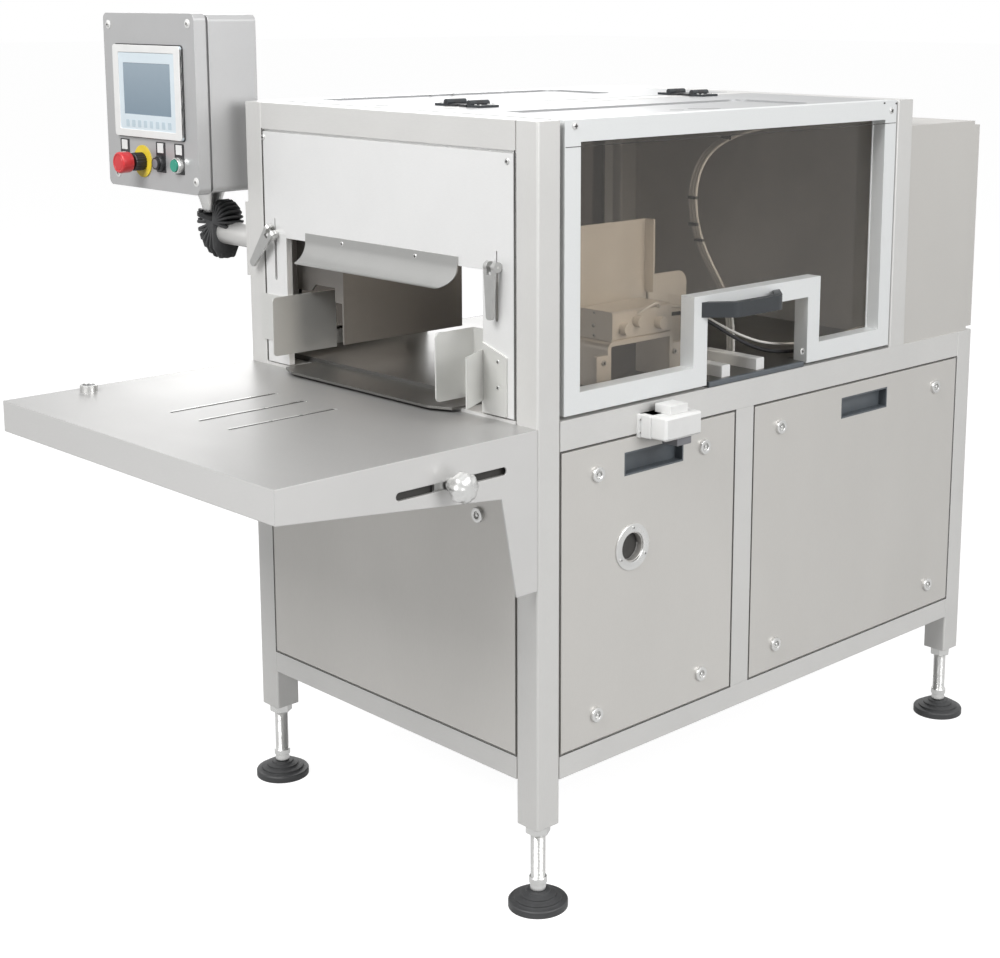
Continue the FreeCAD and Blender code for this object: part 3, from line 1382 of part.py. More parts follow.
# Hinges: the middle knuckle and the pin stay on the spine, the outer knuckles lift with the lid.
def hinge(name, start):
    axis = ("hingePlace", start, "hingeHigh")
    third = "hingeLong / 3"
    middle = f"{start} + {third}"
    pin = rod(f"{name}Pin", axis, "pinRadius", "hingeLong")
    pin.Placement.Rotation = directions["+Y"]
    centre = rod(f"{name}Centre", ("hingePlace", middle, "hingeHigh"), "knuckleRadius", third, "+Y")
    fixedLeaf = box(
        f"{name}FixedLeaf",
        ("hingePlace - leafWide", start, "roofTop"),
        ("leafWide - lidInner + spineHalf", "hingeLong", "leafThick"),
    )
    arm = box(
        f"{name}Arm",
        ("spineHalf - lidInner + hingePlace - 1", middle, "roofTop"),
        ("lidInner - spineHalf + 1", third, "hingeLift"),
    )
    fixed = fuse(f"{name}Fixed", [pin, centre, fixedLeaf, arm])
    knuckles = []
    for index, place in enumerate((start, f"{start} + 2 * {third} + slideGap")):
        knuckleAt = ("hingePlace", place, "hingeHigh")
        sleeve = rod(f"{name}Sleeve{index}", knuckleAt, "knuckleRadius", f"{third} - slideGap", "+Y")
        foot = box(
            f"{name}Foot{index}",
            ("hingePlace", place, "roofTop"),
            ("lidInner - hingePlace + 1", f"{third} - slideGap", "hingeLift"),
        )
        knuckles += [sleeve, foot]
    lidLeaf = box(f"{name}LidLeaf", ("lidInner", start, "roofTop"), ("leafWide", "hingeLong", "leafThick"))
    boreStart = ("hingePlace", f"{start} - 1", "hingeHigh")
    bore = rod(f"{name}Bore", boreStart, "pinRadius + pinPlay", "hingeLong + 2", "+Y")
    relief = rod(
        f"{name}Relief",
        ("hingePlace", f"{middle} - slideGap", "hingeHigh"),
        "knuckleRadius + slideGap",
        f"{third} + 2 * slideGap",
        "+Y",
    )
    moving = cut(f"{name}Moving", fuse(f"{name}MovingAll", knuckles + [lidLeaf]), [bore, relief])
    return fixed, moving


fixedHinges = []
movingHinges = []
for end, start in (("Front", "frontHinge"), ("Rear", "rearHinge")):
    fixed, moving = hinge(f"hinge{end}", start)
    fixedHinges.append(fixed)
    movingHinges.append(moving)
leftFixed = [mirror(f"leftFixed{index}", piece) for index, piece in enumerate(fixedHinges)]
node("spine_hinges", fixedHinges + leftFixed)
rightFittings = [rightHandle] + movingHinges
node("right_hood_fittings", rightFittings)
leftFittings = [mirror(f"leftFitting{index}", piece) for index, piece in enumerate(rightFittings)]
node("left_hood_fittings", leftFittings)

doc.recompute()

for thing in doc.Objects:
    if {"Invalid", "Error"} & set(thing.State):
        raise RuntimeError(f"{thing.Name} failed: {thing.State}")
for part in nodes:
    if part.Shape.isNull() or not part.Shape.isValid():
        raise RuntimeError(f"{part.Label} has no valid shape")
    if not part.Shape.Solids:
        raise RuntimeError(f"{part.Label} has no solid")

os.makedirs("parts", exist_ok=True)
whole = FreeCAD.BoundBox()
for part in nodes:
    part.Shape.exportStep(f"parts/{part.Label}.step")
    whole.add(part.Shape.BoundBox)
    print(f"{part.Label}: {len(part.Shape.Solids)} solids, {part.Shape.Volume / 1e6:.3f} dm3")
print(f"{len(nodes)} sub-parts, {whole}")
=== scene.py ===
import math

import bmesh
import bpy
from mathutils import Matrix, Vector


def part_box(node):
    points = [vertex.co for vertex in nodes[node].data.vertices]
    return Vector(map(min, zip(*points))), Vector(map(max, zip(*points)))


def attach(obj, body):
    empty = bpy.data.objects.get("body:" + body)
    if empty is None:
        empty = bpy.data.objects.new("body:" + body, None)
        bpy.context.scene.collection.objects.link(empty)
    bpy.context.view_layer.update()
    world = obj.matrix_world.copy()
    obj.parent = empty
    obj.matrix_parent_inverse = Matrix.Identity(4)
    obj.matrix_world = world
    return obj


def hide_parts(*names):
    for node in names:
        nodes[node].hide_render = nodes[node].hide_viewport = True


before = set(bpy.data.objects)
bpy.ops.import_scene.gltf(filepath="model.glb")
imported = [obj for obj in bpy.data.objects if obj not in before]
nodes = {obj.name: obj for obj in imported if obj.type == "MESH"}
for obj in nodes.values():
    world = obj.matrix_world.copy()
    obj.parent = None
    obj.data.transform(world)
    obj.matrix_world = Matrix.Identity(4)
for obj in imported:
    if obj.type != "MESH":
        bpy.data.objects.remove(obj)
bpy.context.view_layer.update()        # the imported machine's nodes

print("frame loaded:", len(nodes), "pieces")

# Places below are read off the machine in millimetres from the middle of its frame, its front face
# and the floor; spot() brings them to the shared frame in metres.
machineZero = {"x": 0.138, "y": -0.376}


def spot(x, y, z):
    return Vector((machineZero["x"] + x / 1000, machineZero["y"] + y / 1000, z / 1000))


# Shader tools. Every finish reads object coordinates, which are metres in the shared frame.

def addNode(tree, kind, **settings):
    made = tree.nodes.new(kind)
    for key, value in settings.items():
        setattr(made, key, value)
    return made


# A number, a colour or another node's output into a socket.
def feed(tree, socket, value):
    if isinstance(value, bpy.types.NodeSocket):
        tree.links.new(value, socket)
    else:
        socket.default_value = value


def stretchedCoords(tree, stretch):
    source = addNode(tree, "ShaderNodeTexCoord")
    mapping = addNode(tree, "ShaderNodeMapping")
    tree.links.new(source.outputs["Object"], mapping.inputs["Vector"])
    mapping.inputs["Scale"].default_value = stretch
    return mapping.outputs["Vector"]


def noise(tree, scale, detail=3.0, stretch=(1, 1, 1)):
    texture = addNode(tree, "ShaderNodeTexNoise")
    tree.links.new(stretchedCoords(tree, stretch), texture.inputs["Vector"])
    texture.inputs["Scale"].default_value = scale
    texture.inputs["Detail"].default_value = detail
    return texture.outputs["Fac"]


def remap(tree, value, low, high, fromLow=0.3, fromHigh=0.7):
    ranger = addNode(tree, "ShaderNodeMapRange")
    tree.links.new(value, ranger.inputs["Value"])
    for key, number in (("From Min", fromLow), ("From Max", fromHigh), ("To Min", low), ("To Max", high)):
        ranger.inputs[key].default_value = number
    return ranger.outputs["Result"]


def combine(tree, operation, first, second):
    step = addNode(tree, "ShaderNodeMath", operation=operation)
    feed(tree, step.inputs[0], first)
    feed(tree, step.inputs[1], second)
    return step.outputs[0]


def tintBetween(tree, factor, dark, light):
    mixer = addNode(tree, "ShaderNodeMix", data_type="RGBA")
    feed(tree, mixer.inputs["Factor"], factor)
    feed(tree, mixer.inputs["A"], (*dark, 1))
    feed(tree, mixer.inputs["B"], (*light, 1))
    return mixer.outputs["Result"]


def relief(tree, height, strength, depth, under=None):
    bump = addNode(tree, "ShaderNodeBump")
    tree.links.new(height, bump.inputs["Height"])
    bump.inputs["Strength"].default_value = strength
    bump.inputs["Distance"].default_value = depth
    if under:
        tree.links.new(under, bump.inputs["Normal"])
    return bump.outputs["Normal"]


def softEdge(tree, radius):
    bevel = addNode(tree, "ShaderNodeBevel", samples=4)
    bevel.inputs["Radius"].default_value = radius
    return bevel.outputs["Normal"]


def shade(colour, share):
    return tuple(channel * share for channel in colour)


def newFinish(name):
    material = bpy.data.materials.new(name)
    material.use_nodes = True
    tree = material.node_tree
    return material, tree, tree.nodes["Principled BSDF"]


# Worked metal: cloudy tone, a fine grain that runs one way and softened edges.
def metalFinish(name, look):
    material, tree, shader = newFinish(name)
    cloud = noise(tree, look["cloud"], 4.0, look.get("cloudStretch", (1, 1, 1)))
    grain = noise(tree, look["grain"], 2.0, look["run"])
    cloudPart = combine(tree, "MULTIPLY", cloud, 0.75)
    tone = combine(tree, "ADD", cloudPart, combine(tree, "MULTIPLY", grain, 0.25))
    spread = look.get("spread", 0.05)
    tint = tintBetween(
        tree, remap(tree, tone, 0, 1), shade(look["colour"], 1 - spread), shade(look["colour"], 1 + spread)
    )
    if "paintedTopShade" in look:        # painted shade: faces that look up get a darker tone than the sides
        shape = addNode(tree, "ShaderNodeNewGeometry")
        split = addNode(tree, "ShaderNodeSeparateXYZ")
        tree.links.new(shape.outputs["Normal"], split.inputs["Vector"])
        paintedLightRamp = remap(tree, split.outputs["Z"], 0, 1, 0.3, 0.9)
        mixer = addNode(tree, "ShaderNodeMix", data_type="RGBA", blend_type="MULTIPLY")
        feed(tree, mixer.inputs["Factor"], paintedLightRamp)
        feed(tree, mixer.inputs["A"], tint)
        feed(tree, mixer.inputs["B"], (look["paintedTopShade"], look["paintedTopShade"], look["paintedTopShade"], 1))
        tint = mixer.outputs["Result"]
    tree.links.new(tint, shader.inputs["Base Color"])
    rough = remap(tree, tone, look["rough"] + 0.05, look["rough"] - 0.03)
    tree.links.new(rough, shader.inputs["Roughness"])
    shader.inputs["Metallic"].default_value = look["metal"]
    edge = softEdge(tree, look["edge"])
    wavy = relief(tree, noise(tree, 5.0, 1.0), 0.1, 0.002, edge)      # the sheet's slow waves
    tree.links.new(relief(tree, grain, look["grainStrength"], 0.0004, wavy), shader.inputs["Normal"])
    return material


# Plastic, rubber or paint with a fine moulded grain and a faint cloud of handling.
def mouldedFinish(name, look):
    material, tree, shader = newFinish(name)
    cloud = noise(tree, look.get("cloud", 25.0), 4.0)
    grain = noise(tree, look["grain"], 2.0)
    spread = look.get("spread", 0.1)
    tint = tintBetween(
        tree, remap(tree, cloud, 0, 1), shade(look["colour"], 1 - spread), shade(look["colour"], 1 + spread)
    )
    tree.links.new(tint, shader.inputs["Base Color"])
    tree.links.new(remap(tree, cloud, look["rough"] + 0.06, look["rough"] - 0.04), shader.inputs["Roughness"])
    shader.inputs["Specular IOR Level"].default_value = look.get("shine", 0.5)
    edge = softEdge(tree, look.get("edge", 0.0006))
    tree.links.new(relief(tree, grain, look["grainStrength"], 0.0003, edge), shader.inputs["Normal"])
    return material


metalLooks = {
    "satinSteel": {
        "colour": (0.66, 0.655, 0.64), "metal": 0.38, "rough": 0.42, "edge": 0.0015, "cloud": 5.0,
        "grain": 900.0, "run": (1, 1, 0.12), "grainStrength": 0.05,
    },
    "railSteel": {
        "colour": (0.66, 0.655, 0.64), "metal": 0.38, "rough": 0.42, "edge": 0.0015, "cloud": 5.0,
        "grain": 900.0, "run": (0.12, 0.12, 1), "grainStrength": 0.05,
    },
    "panelSteel": {
        "colour": (0.60, 0.586, 0.56), "metal": 0.48, "rough": 0.4, "edge": 0.001, "cloud": 3.2,
        "cloudStretch": (1, 1, 0.45), "grain": 1100.0, "run": (1, 1, 0.1), "grainStrength": 0.06,
    },
    "tableSteel": {
        "colour": (0.64, 0.635, 0.625), "metal": 0.5, "rough": 0.4, "edge": 0.002, "cloud": 4.0, "paintedTopShade": 0.66,
        "cloudStretch": (0.5, 1, 1), "grain": 1000.0, "run": (0.1, 1, 1), "grainStrength": 0.07,
    },
    "coverSteel": {
        "colour": (0.80, 0.80, 0.795), "metal": 0.45, "rough": 0.4, "edge": 0.0008, "cloud": 4.0,
        "grain": 1000.0, "run": (0.1, 1, 1), "grainStrength": 0.05,
    },
    "deflectorSteel": {
        "colour": (0.43, 0.43, 0.42), "metal": 0.7, "rough": 0.3, "edge": 0.0005, "cloud": 8.0,
        "grain": 1000.0, "run": (0.15, 1, 1), "grainStrength": 0.06,
    },
    "sheetSteel": {
        "colour": (0.66, 0.66, 0.64), "metal": 0.5, "rough": 0.36, "edge": 0.0005, "cloud": 8.0,
        "grain": 1000.0, "run": (0.15, 1, 1), "grainStrength": 0.06,
    },
    # dark tone is painted shade of the machine's inside, on the inner carton plate
    "innerPaintedShadeSteel": {
        "colour": (0.26, 0.245, 0.23), "metal": 0.7, "rough": 0.38, "edge": 0.0005, "cloud": 8.0,
        "grain": 1000.0, "run": (0.15, 1, 1), "grainStrength": 0.06,
    },
    "boxSteel": {
        "colour": (0.50, 0.50, 0.502), "metal": 0.55, "rough": 0.36, "edge": 0.0015, "cloud": 7.0,
        "grain": 1000.0, "run": (1, 1, 0.1), "grainStrength": 0.06,
    },
    "turnedSteel": {
        "colour": (0.66, 0.66, 0.65), "metal": 0.9, "rough": 0.28, "edge": 0.0004, "cloud": 40.0,
        "grain": 1500.0, "run": (1, 1, 1), "grainStrength": 0.04,
    },
    "castSteel": {
        "colour": (0.50, 0.50, 0.49), "metal": 0.9, "rough": 0.34, "edge": 0.0006, "cloud": 60.0,
        "grain": 900.0, "run": (1, 1, 1), "grainStrength": 0.12,
    },
    "anodised": {
        "colour": (0.79, 0.805, 0.805), "metal": 0.3, "rough": 0.38, "edge": 0.0012, "cloud": 6.0, "spread": 0.025,
        "grain": 1300.0, "run": (1, 0.2, 0.2), "grainStrength": 0.03,
    },
    "lidSheet": {
        "colour": (0.40, 0.405, 0.41), "metal": 0.4, "rough": 0.4, "edge": 0.0012, "cloud": 5.0,
        "grain": 1300.0, "run": (1, 0.2, 0.2), "grainStrength": 0.03,
    },
    # near black tone is painted shade and a painted dark reflection of the machine's inside, on the tray lip and
    # deck
    "trayPaintedShadeSteel": {
        "colour": (0.17, 0.167, 0.16), "metal": 0.75, "rough": 0.3, "edge": 0.0008, "cloud": 6.0,
        "grain": 1000.0, "run": (0.15, 1, 1), "grainStrength": 0.05,
    },
    "milledAluminium": {
        "colour": (0.80, 0.765, 0.71), "metal": 0.4, "rough": 0.34, "edge": 0.0008, "cloud": 12.0,
        "grain": 1200.0, "run": (0.15, 1, 1), "grainStrength": 0.08,
    },
}
mouldedLooks = {
    "blackRubber": {
        "colour": (0.05, 0.051, 0.053), "rough": 0.5, "grain": 1500.0, "grainStrength": 0.25, "spread": 0.25,
    },
    "blackPlastic": {"colour": (0.02, 0.02, 0.022), "rough": 0.42, "grain": 2200.0, "grainStrength": 0.15},
    "handlePlastic": {
        "colour": (0.026, 0.030, 0.034), "rough": 0.4, "grain": 2000.0, "grainStrength": 0.15, "spread": 0.08,
    },
    "slatePlastic": {
        "colour": (0.095, 0.108, 0.12), "rough": 0.42, "grain": 2000.0, "grainStrength": 0.15, "spread": 0.08,
    },
    "whitePlastic": {
        "colour": (0.78, 0.78, 0.77), "rough": 0.38, "grain": 1800.0, "grainStrength": 0.08, "spread": 0.03,
    },
    "filmPlastic": {
        "colour": (0.66, 0.74, 0.79), "rough": 0.34, "grain": 1600.0, "grainStrength": 0.05, "spread": 0.02,
    },
    "redPlastic": {"colour": (0.60, 0.035, 0.04), "rough": 0.3, "grain": 1500.0, "grainStrength": 0.05},
    "yellowPlastic": {"colour": (0.80, 0.60, 0.04), "rough": 0.4, "grain": 1500.0, "grainStrength": 0.05},
    "greenPlastic": {"colour": (0.03, 0.30, 0.21), "rough": 0.25, "grain": 1500.0, "grainStrength": 0.04},
    "lampPlastic": {"colour": (0.82, 0.81, 0.76), "rough": 0.28, "grain": 1500.0, "grainStrength": 0.04},
    "hosePlastic": {
        "colour": (0.72, 0.71, 0.68), "rough": 0.35, "grain": 900.0, "grainStrength": 0.06, "spread": 0.04,
    },
    "greyPlastic": {"colour": (0.20, 0.20, 0.215), "rough": 0.4, "grain": 1800.0, "grainStrength": 0.1},
    "keyPlastic": {
        "colour": (0.50, 0.60, 0.66), "rough": 0.36, "grain": 1600.0, "grainStrength": 0.05, "spread": 0.03,
    },
    # dark joints and seams, and painted shade: the dark inlays in screw recesses, slots and the port's hole
    "darkJointsAndPaintedShade": {"colour": (0.05, 0.048, 0.045), "rough": 0.7, "grain": 1500.0, "grainStrength": 0.1},
}
finishes = {name: metalFinish(name, look) for name, look in metalLooks.items()}
finishes.update({name: mouldedFinish(name, look) for name, look in mouldedLooks.items()})

glassLooks = {
    "rightSheet": {"tint": (0.50, 0.465, 0.425), "through": (0.95, 0.92, 0.87), "rough": 0.02, "index": 1.49},
    # the left sheet is the same bronze glass as the right, tinted and passing far darker: painted shade of what
    # shows through it
    "leftSheetPaintedDark": {"tint": (0.085, 0.076, 0.068), "through": (0.60, 0.56, 0.51), "rough": 0.02, "index": 1.49},
}


# Bronze sheet that shows what is behind it and lets the lamps' light in.
def tintedGlass(name, look):
    material, tree, shader = newFinish(name)
    haze = noise(tree, 9.0, 4.0)
    tint = tintBetween(tree, remap(tree, haze, 0, 1), shade(look["tint"], 0.96), shade(look["tint"], 1.04))
    tree.links.new(tint, shader.inputs["Base Color"])
    tree.links.new(remap(tree, haze, look["rough"], look["rough"] + 0.02), shader.inputs["Roughness"])
    shader.inputs["Transmission Weight"].default_value = 1.0
    shader.inputs["IOR"].default_value = look["index"]
    clear = addNode(tree, "ShaderNodeBsdfTransparent")
    clear.inputs["Color"].default_value = (*look["through"], 1)
    path = addNode(tree, "ShaderNodeLightPath")
    mixer = addNode(tree, "ShaderNodeMixShader")
    tree.links.new(path.outputs["Is Shadow Ray"], mixer.inputs["Fac"])
    tree.links.new(shader.outputs["BSDF"], mixer.inputs[1])
    tree.links.new(clear.outputs["BSDF"], mixer.inputs[2])
    tree.links.new(mixer.outputs["Shader"], tree.nodes["Material Output"].inputs["Surface"])
    return material


finishes.update({name: tintedGlass(name, look) for name, look in glassLooks.items()})

# low and high colours form a painted reflection ramp, paler towards the top
displayLook = {"low": (0.20, 0.27, 0.33), "high": (0.29, 0.36, 0.42), "rough": 0.16}


# A switched-off touch display: blue grey, paler towards the top as a painted reflection, with a glossy film.
def displayFinish(look):
    material, tree, shader = newFinish("displayFilm")
    low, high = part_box("touch_screen")
    source = addNode(tree, "ShaderNodeTexCoord")
    split = addNode(tree, "ShaderNodeSeparateXYZ")
    tree.links.new(source.outputs["Object"], split.inputs["Vector"])
    # painted reflection: the colour ramps paler with height
    paintedLightRamp = remap(tree, split.outputs["Z"], 0, 1, low.z, high.z)
    mottled = combine(tree, "ADD", paintedLightRamp, combine(tree, "MULTIPLY", noise(tree, 60.0), 0.12))
    tree.links.new(tintBetween(tree, mottled, look["low"], look["high"]), shader.inputs["Base Color"])
    tree.links.new(remap(tree, noise(tree, 35.0), look["rough"], look["rough"] + 0.06), shader.inputs["Roughness"])
    dots = noise(tree, 2500.0, 1.0)
    tree.links.new(relief(tree, dots, 0.03, 0.0002), shader.inputs["Normal"])
    return material


finishes["displayFilm"] = displayFinish(displayLook)
print("finishes made:", len(finishes))

finishOfNode = {
    "frame_posts": "satinSteel", "frame_mullions": "satinSteel", "frame_rails": "railSteel",
    "roof_beams": "railSteel", "roof_spine": "railSteel", "rear_cabinet": "panelSteel",
    "rear_cabinet_door": "panelSteel", "base_panels": "panelSteel", "infeed_table": "tableSteel",
    "front_cover": "coverSteel", "flared_deflector": "deflectorSteel", "carton_guides": "sheetSteel",
    "tray_lip": "trayPaintedShadeSteel", "inner_carton_plate": "innerPaintedShadeSteel", "operator_box": "boxSteel",
    "operator_box_lid": "boxSteel", "panel_arm": "satinSteel", "neck_cone": "turnedSteel",
    "foot_spindles": "turnedSteel", "hat_bracket": "milledAluminium", "panel_locks": "turnedSteel",
    "port_ring": "turnedSteel", "clamp_slide": "turnedSteel", "clamp_knob": "turnedSteel",
    "cover_studs": "turnedSteel", "table_sensor": "turnedSteel", "right_cover_lever": "castSteel",
    "left_cover_lever": "castSteel", "right_hood_frame": "anodised", "left_hood_frame": "anodised",
    "right_hood_lid": "lidSheet", "left_hood_lid": "lidSheet", "cylinder_block": "milledAluminium",
    "side_pusher": "milledAluminium", "side_plate": "milledAluminium", "deck_plate": "trayPaintedShadeSteel",
    "right_window": "rightSheet", "left_window": "leftSheetPaintedDark", "foot_pads": "blackRubber",
    "arm_boot": "blackRubber", "connector_gland": "blackPlastic", "emergency_collar": "blackPlastic",
    "stop_button": "blackPlastic", "spine_hinges": "blackPlastic", "recessed_pulls": "slatePlastic",
    "deck_edge_strips": "slatePlastic", "right_hood_fittings": "handlePlastic",
    "left_hood_fittings": "handlePlastic", "slide_blocks": "whitePlastic", "rail_connector": "whitePlastic",
    "pilot_lamp": "lampPlastic", "touch_panel": "filmPlastic", "touch_screen": "displayFilm",
    "emergency_head": "redPlastic", "emergency_disc": "yellowPlastic", "start_button": "greenPlastic",
    "button_rings": "turnedSteel",
}
for nodeName, piece in nodes.items():
    if piece.type == "MESH" and nodeName in finishOfNode:
        piece.data.materials.clear()
        piece.data.materials.append(finishes[finishOfNode[nodeName]])
print("machine dressed")


# Mesh tools. A form is a bmesh; its outlines are in millimetres and a turn brings them to their place.

def facing(place, direction):
    # own +Z runs along the direction, own +Y upwards
    forward = Vector(direction)
    up = Vector((0, 1, 0)) if abs(forward.z) > 0.9 else Vector((0, 0, 1))
    right = up.cross(forward).normalized()
    turn = Matrix((right, forward.cross(right), forward)).transposed().to_4x4()
    return Matrix.Translation(spot(*place)) @ turn @ Matrix.Scale(0.001, 4)


def raised(turn, height):
    return turn @ Matrix.Translation((0, 0, height))


def circle(radius, sides=32):
    turns = [2 * math.pi * step / sides for step in range(sides)]
    return [(radius * math.cos(angle), radius * math.sin(angle)) for angle in turns]


def lobed(radius, lobes, depth, sides=96):
    turns = [2 * math.pi * step / sides for step in range(sides)]
    reach = [radius - depth * (0.5 - 0.5 * math.cos(lobes * angle)) for angle in turns]
    return [(far * math.cos(angle), far * math.sin(angle)) for far, angle in zip(reach, turns)]


def rounded(wide, tall, radius, steps=4):
    loop = []
    for quarter, (across, up) in enumerate(((1, 1), (-1, 1), (-1, -1), (1, -1))):
        for step in range(steps + 1):
            angle = math.pi / 2 * (quarter + step / steps)
            x = across * (wide / 2 - radius) + radius * math.cos(angle)
            y = up * (tall / 2 - radius) + radius * math.sin(angle)
            loop.append((x, y))
    return loop


# Outlines of the same length, each in its own place, joined in order and closed with caps or into a ring.
def loft(form, layers, closed="caps"):
    rings = [[form.verts.new(place @ Vector((x, y, 0))) for x, y in outline] for outline, place in layers]
    pairs = list(zip(rings, rings[1:]))
    if closed == "ring":
        pairs.append((rings[-1], rings[0]))
    for lower, upper in pairs:
        for step in range(len(lower)):
            form.faces.new((lower[step - 1], lower[step], upper[step], upper[step - 1]))
    if closed == "caps":
        form.faces.new(rings[0][::-1])
        form.faces.new(rings[-1])


def lathe(form, turn, profile, sides=32, closed="caps"):
    loft(form, [(circle(radius, sides), raised(turn, height)) for radius, height in profile], closed)


def slab(form, turn, wide, tall, thick, radius=1.0, bevel=0.4):
    loft(form, [
        (rounded(wide, tall, radius), turn),
        (rounded(wide, tall, radius), raised(turn, thick - bevel)),
        (rounded(wide - 2 * bevel, tall - 2 * bevel, max(radius - bevel, 0.05)), raised(turn, thick)),
    ])


# A thin strip between two places on a face.
def seam(form, start, end, direction, wide=1.6, proud=0.35):
    middle = [(first + last) / 2 for first, last in zip(start, end)]
    run = Vector(end) - Vector(start)
    turn = facing(middle, direction)
    flat = turn.to_3x3().inverted() @ run
    angle = math.atan2(flat.y, flat.x)
    slab(form, turn @ Matrix.Rotation(angle, 4, "Z"), run.length + wide, wide, proud, wide * 0.3, proud * 0.3)


def newPiece(name, form, finish, body, *stoodFor, crease=34):
    mesh = bpy.data.meshes.new(name)
    bmesh.ops.recalc_face_normals(form, faces=form.faces)
    form.to_mesh(mesh)
    form.free()
    mesh.polygons.foreach_set("use_smooth", [True] * len(mesh.polygons))
    mesh.set_sharp_from_angle(angle=math.radians(crease))
    piece = bpy.data.objects.new(name, mesh)
    bpy.context.scene.collection.objects.link(piece)
    mesh.materials.append(finishes[finish])
    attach(piece, body)
    if stoodFor:
        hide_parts(*stoodFor)


frontward = (0, -1, 0)
rightward = (1, 0, 0)
leftward = (-1, 0, 0)
upward = (0, 0, 1)

screwLook = {"crossLong": 0.62, "crossWide": 0.17}


# A pan head, and its cross recess as a dark inlay of painted shade, in a form of its own.
def screwHead(form, marks, place, direction, radius=5.5, tall=2.4, lean=20):
    turn = facing(place, direction) @ Matrix.Rotation(math.radians(lean), 4, "Z")
    lathe(form, turn, [(radius, 0), (radius, tall * 0.45), (radius * 0.86, tall * 0.85), (radius * 0.6, tall)], 24)
    for quarter in (0, 90):
        bar = raised(turn, tall - 0.02) @ Matrix.Rotation(math.radians(quarter), 4, "Z")
        long = 2 * radius * screwLook["crossLong"]
        slab(marks, bar, long, 2 * radius * screwLook["crossWide"], 0.12, 0.2, 0.04)


feet = {
    "across": 359, "places": (25, 1200),
    "pad": [
        (50, 0), (50, 10), (48.6, 12), (41.5, 12.8), (40, 14), (40, 17), (38.6, 17.8), (31.5, 18.4), (30, 19.6),
        (30, 22.4), (28.6, 23.2), (22, 24), (20.6, 25), (20, 27.4), (18.6, 28),
    ],
    "ball": [(9, 27), (13, 30), (13.4, 35), (12, 40), (12, 41), (15, 41.6), (15, 51), (14, 52.4), (12.5, 52.6)],
    "stem": 12.5, "thread": 0.8, "pitch": 2.5, "threadTop": 129, "nut": 21, "nutLow": 129, "nutTop": 146,
}


def makeFeet():
    pads = bmesh.new()
    spindles = bmesh.new()
    for across in (-feet["across"], feet["across"]):
        for along in feet["places"]:
            turn = facing((across, along, 0), upward)
            lathe(pads, turn, feet["pad"], 48)
            profile = list(feet["ball"])
            height = profile[-1][1]
            while height < feet["threadTop"]:
                profile += [(feet["stem"], height + 0.4), (feet["stem"] - feet["thread"], height + 1.4)]
                height += feet["pitch"]
            lathe(spindles, turn, profile, 32)
            low, top, reach = feet["nutLow"], feet["nutTop"], feet["nut"]
            hexagon = [(reach - 2, low), (reach, low + 1.5), (reach, top - 1.5), (reach - 2, top)]
            lathe(spindles, turn, hexagon, 6)
    newPiece("ribbedFootPads", pads, "blackRubber", "machine", "foot_pads")
    newPiece("threadedFootSpindles", spindles, "turnedSteel", "machine", "foot_spindles")


panelLocks = {
    "sideAlong": (134, 397, 607, 1099), "sideHigh": (311, 724), "frontAcross": (-245, 245), "frontHigh": 654,
    "head": [(13, 0), (13, 4.4), (12.2, 5.6), (11, 6), (7.4, 6), (6.5, 5.4), (6.5, 1.6)],
    "pin": [(3, 1.4), (3, 4.8), (2.2, 5.6)],
}


def makePanelLocks():
    form = bmesh.new()
    places = [((across, 0, panelLocks["frontHigh"]), frontward) for across in panelLocks["frontAcross"]]
    for side, direction in ((384, rightward), (-384, leftward)):
        for along in panelLocks["sideAlong"]:
            places += [((side, along, high), direction) for high in panelLocks["sideHigh"]]
    for place, direction in places:
        lathe(form, facing(place, direction), panelLocks["head"], 40)
        lathe(form, facing(place, direction), panelLocks["pin"], 16)
    newPiece("roundPanelLocks", form, "turnedSteel", "machine", "panel_locks")


port = {
    "place": (384, 218, 583), "screwReach": 33.5, "screwTurns": (90, 210, 330),
    "ring": [(40, 0), (40, 2.2), (39, 3), (27.5, 3), (26, 2.4), (25, 0), (25, -5), (27, -5)],
}


def makePort():
    form = bmesh.new()
    marks = bmesh.new()
    turn = facing(port["place"], rightward)
    lathe(form, turn, port["ring"], 64, "ring")
    x, y, z = port["place"]
    for angle in port["screwTurns"]:
        along = port["screwReach"] * math.cos(math.radians(angle))
        up = port["screwReach"] * math.sin(math.radians(angle))
        screwHead(form, marks, (x + 3, y + along, z + up), rightward, 3.2, 1.6)
    newPiece("flatPortRing", form, "turnedSteel", "machine", "port_ring")
    newPiece("portScrewRecesses", marks, "darkJointsAndPaintedShade", "machine")


connector = {
    "middle": (280, 789), "flange": (108, 40, 5), "housing": (98, 40, 26), "hood": (90, 40, 58), "bevel": 4,
    "cap": {"middle": (280, 816.5), "size": (44, 15)}, "foot": {"middle": (294, 761), "size": (36, 16)},
    "blockReach": (12, 46), "screws": ((228.6, 800), (228.6, 778), (331.4, 800), (331.4, 778)),
}


